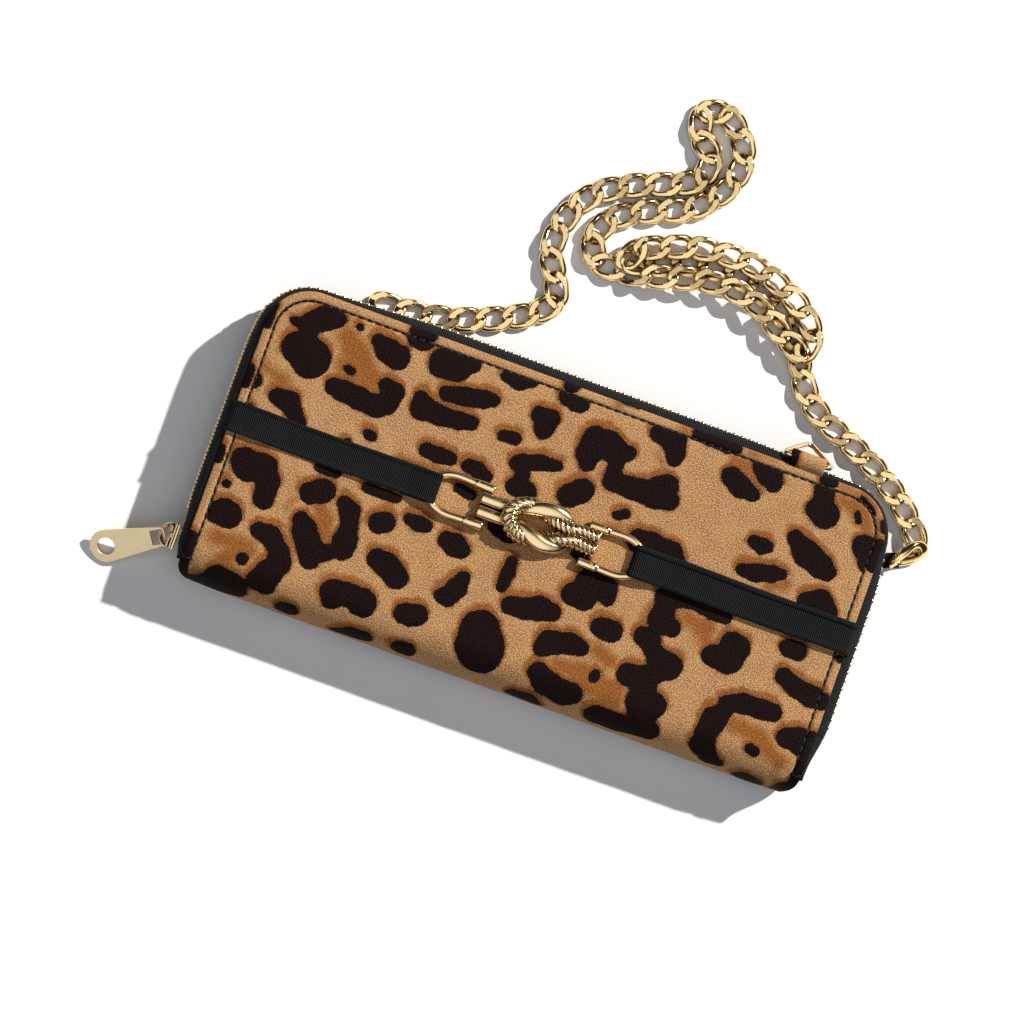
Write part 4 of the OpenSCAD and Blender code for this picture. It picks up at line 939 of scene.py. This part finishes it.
tab_bm = mapped_grid(len(tab_way), len(tab_across), tab_place, lambda i, j: (tab_across[j] + 300, i * 1.1, 0))
for name in ("spot", "halo", "warm", "seam"):
    layer = tab_bm.verts.layers.float.new(name)
    for vert in tab_bm.verts:
        x = vert.co.x * 1000 - ring_x
        vert[layer] = {"spot": x + 3.2, "halo": x + 2.6, "warm": 3.5, "seam": 5.0}[name]
ring_tab = finish_piece("ring_tab_leather", tab_bm, leather)
thicken(ring_tab, 0.0006, -1)
fit(ring_tab, "front_half", "printed_skin", "ring_tab")

# ---------------------------------------------------------------- pins, stop and chain ends
# Thin pins through the shackles' tips, near black as painted shade of the gap there, the zip's bottom stop, and
# the two ribbon loops and the small ring that the chain's ends hang on.
# painted shade: the pins are coloured near black for the dark gap between the shackles' tips and the knot
shade_dark_pin_metal = gold("shade_dark_pin_metal", (0.10, 0.08, 0.06), 0.35, 0.5)
pin_half = 5.8
for hand, x in (("left", -19.3), ("right", 14.9)):
    pin_line = [Vector((x, strap_mid + pin_half * (k / 3 - 1), bar_height)) / 1000 for k in range(7)]
    pin = ring_tube("shackle_pin_" + hand + "_wire", pin_line, shade_dark_pin_metal, 0.00035, sides=10, closed=False)
    fit(pin, "front_half", "gold_fittings", "shackle_pin_" + hand)

stop = bmesh.new()
block(stop, (half_x + 0.9, -40.4, middle), (1.2, 2.6, 3.0), 0.3)
bmesh.ops.scale(stop, vec=(0.001,) * 3, verts=stop.verts)
fit(finish_piece("bottom_stop", stop, zip_gold), "back_half", "zip_teeth", "zip_stop")

tab_loops = bmesh.new()
for start, out, reach in ((Vector((-71.5, top_y - 0.5, 2.4)), Vector((0, 1, 0)), 3.6),
                          (Vector((half_x + 1.6, 30.2, 3.6)), Vector((0.93, 0.36, 0)), 7.4)):
    across = Vector((out.y, -out.x, 0))
    loop = [start + out * (reach * k / 8) + Vector((0, 0, 1.05 * math.sqrt(1 - (k / 8) ** 2)))
            for k in range(9)]
    loop += [Vector((p.x, p.y, 2 * start.z - p.z)) for p in reversed(loop[:-1])]
    strip = mapped_grid(len(loop), 6, lambda i, j: (loop[i] + across * (j - 2.5) * 0.95) / 1000,
                        lambda i, j: (i * 0.8, j * 1.2, 0))
    add_copy(tab_loops, strip, Matrix())
    strip.free()
chain_loops = finish_piece("chain_loops", tab_loops, ribbon_cloth)
thicken(chain_loops, 0.0007)
fit(chain_loops, "back_half", "zip_tape", "chain_tab_left", "chain_tab_right")

end_turn = math.radians(45.6)
end_way = Vector((math.cos(end_turn), math.sin(end_turn), 0))
end_side = Matrix.Rotation(math.radians(60), 3, end_way) @ Vector((0, 0, 1)).cross(end_way)
end_place = Matrix((end_way, end_side, end_way.cross(end_side))).transposed().to_4x4()
bmesh.ops.transform(link, verts=link.verts, matrix=Matrix.Translation(Vector((0.1112, 0.0352, 0.0042)))
                    @ end_place @ Matrix.Diagonal((1.12, 1.1, 1.1, 1)))
fit(finish_piece("chain_end_wire", link, chain_gold), "back_half", "gold_chain", "chain_end_ring")

# ---------------------------------------------------------------- the inside
# Black satin: a lining and three steps of card pockets in each half, a divider
# each side of the coin pocket, and pleated walls that let the wallet fan open.
satin = cloth_material("satin", (0.012, 0.012, 0.014), (0.035, 0.035, 0.040), 4.0)


def cloth_panel(name, body, node, widths, low, high, z, thick, facing):
    """Flat cloth from low to high across each of widths, in mm, with a slight wave
    and a folded hem along its free edge."""
    bm = bmesh.new()
    lines = max(4, round((high - low) / 3))
    stops = [low + (high - low - 2.2) * k / (lines - 1) for k in range(lines)] + [high - 2.0, high - 0.3, high]
    for x0, x1 in widths:
        columns = max(2, round((x1 - x0) / 3))

        def place(i, j):
            hem = 0.12 if j >= lines else 0.0
            x = x0 + (x1 - x0) * i / (columns - 1)
            wave = 0.10 * noise.noise(Vector((x / 17, stops[j] / 12, z)))
            return Vector((x, stops[j], z + thick / 2 + facing * (hem + wave))) / 1000

        sheet = mapped_grid(columns, len(stops), place,
                            lambda i, j: (x0 + (x1 - x0) * i / (columns - 1), stops[j], z))
        add_copy(bm, sheet, Matrix())
        sheet.free()
    panel = finish_piece(name, bm, satin)
    thicken(panel, thick * 0.0009)
    fit(panel, body, "lining", node)


def bend_with_cover(name, bm, thickness, start, end, node):
    """A soft piece that bends between both halves from one height to another, in metres."""
    piece = finish_piece(name, bm, satin)
    thicken(piece, thickness)
    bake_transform(piece, "back_half", "front_half", start=(0, 0, start), end=(0, 0, end))
    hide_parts(node)


leaf_low = fold_y + 2.5
leaf_high = leaf_low + top_y - fold_y - 2.5 - 9
for half, facing, outer_face in (("front", -1, 22.0), ("back", 1, -0.6)):
    cloth_panel(half + "_lining_cloth", half + "_half", half + "_lining", [(-95.8, 95.8)],
                fold_y, top_y - 4.7, outer_face + facing * 2.6, 0.6, facing)
    for step, depth in enumerate((70, 62, 54), 1):
        cloth_panel(f"{half}_cards_{step}", half + "_half", f"{half}_pocket_{step}",
                    [(-83.8, -0.8), (0.8, 83.8)], leaf_low, leaf_low + depth,
                    outer_face + facing * (2.6 + 0.6 * step), 0.5, facing)
for half, facing, z in (("back", 1, middle - 4.8), ("front", -1, middle + 3.8)):
    cloth_panel("divider_" + half + "_cloth", "divider_" + half + "_leaf", "divider_" + half,
                [(-86, 86)], leaf_low, leaf_high, z, 1.0, facing)
for half, facing, z in (("back", 1, middle - 2.5), ("front", -1, middle + 1.7)):
    cloth_panel("coin_wall_" + half + "_cloth", "coin_pocket_leaf", "coin_wall_" + half,
                [(-80, 80)], leaf_low + 2, top_y - 15, z, 0.8, facing)
# the pleated walls reach down into the spine's roll, and get lower there
wall_rows = [fold_y - 8.7 + 62.0 * k / 35 for k in range(36)]
wall_tall = [min(8.2, math.sqrt(9.2 ** 2 - min(0, y - fold_y) ** 2)) for y in wall_rows]
for hand, sign in (("left", -1), ("right", 1)):
    gusset_bm = mapped_grid(36, 41, lambda i, j: Vector(
        (sign * (91.5 - 3.6 * math.cos(4 * math.pi * j / 40)), wall_rows[i],
         middle + wall_tall[i] * (j / 20 - 1))) / 1000, lambda i, j: (1.8 * i, 0.9 * j, 0))
    bend_with_cover("gusset_" + hand + "_cloth", gusset_bm, 0.0004, 0.0027, 0.0193, "gusset_" + hand)
spine_radius = 9.9
roll_bm = mapped_grid(60, 25, lambda i, j: Vector(
    (-96 + 192 * i / 59, fold_y - spine_radius * math.sin(math.pi * j / 24),
     middle + spine_radius * math.cos(math.pi * j / 24))) / 1000, lambda i, j: (3.2 * i, 1.3 * j, 0))
bend_with_cover("spine_cloth", roll_bm, 0.0005, 0.004, 0.018, "spine_lining")

for material, nodes in ((satin, ("back_board", "front_board", "coin_edge")),
                        (tape_cloth, ("coin_tape_back", "coin_tape_front")),
                        (zip_gold, ("coin_teeth_back", "coin_teeth_front")),
                        (fitting_gold, ("coin_slider", "coin_pull"))):
    for node in nodes:
        bpy.data.objects[node].data.materials.clear()
        bpy.data.objects[node].data.materials.append(material)

# ---------------------------------------------------------------- table and light
# A white table, one lamp from the upper right for the shadow, and a dim room with
# one large bright window high on the near side, for the gold to mirror.
floor_bm = bmesh.new()
bmesh.ops.create_grid(floor_bm, x_segments=1, y_segments=1, size=3)
bmesh.ops.translate(floor_bm, verts=floor_bm.verts, vec=(0, 0, -0.0001))
paper, paper_tree, paper_shader = new_material("paper")
feed(paper_tree, paper_shader, {"Base Color": (0.70, 0.70, 0.70, 1), "Roughness": 0.9})
finish_piece("table_top", floor_bm, paper)
lamp = bpy.data.objects.new("sun", bpy.data.lights.new("sun", "SUN"))
lamp.data.energy = 6.1
lamp.data.angle = math.radians(1.6)
lamp.data.color = (1.0, 0.97, 0.93)
lamp.matrix_world = Vector((0.87, 0.99, 1.0)).to_track_quat("Z", "Y").to_matrix().to_4x4()
bpy.context.scene.collection.objects.link(lamp)
room = bpy.data.worlds.new("room")
room.use_nodes = True
sky = room.node_tree
toward = add_node(sky, "TexCoord").outputs["Generated"]
facing = add_node(sky, "VectorMath", {0: toward, 1: (-0.07, -0.33, 0.941)}, operation="DOT_PRODUCT")
window = add_node(sky, "MapRange", {"Value": facing.outputs["Value"], "From Min": 0.62, "From Max": 0.96,
                                    "To Min": 0.03, "To Max": 1.12}, interpolation_type="SMOOTHSTEP")
feed(sky, sky.nodes["Background"], {"Color": (0.93, 0.95, 1.0, 1), "Strength": window.outputs["Result"]})
bpy.context.scene.world = room
bpy.context.scene.view_settings.view_transform = "Standard"
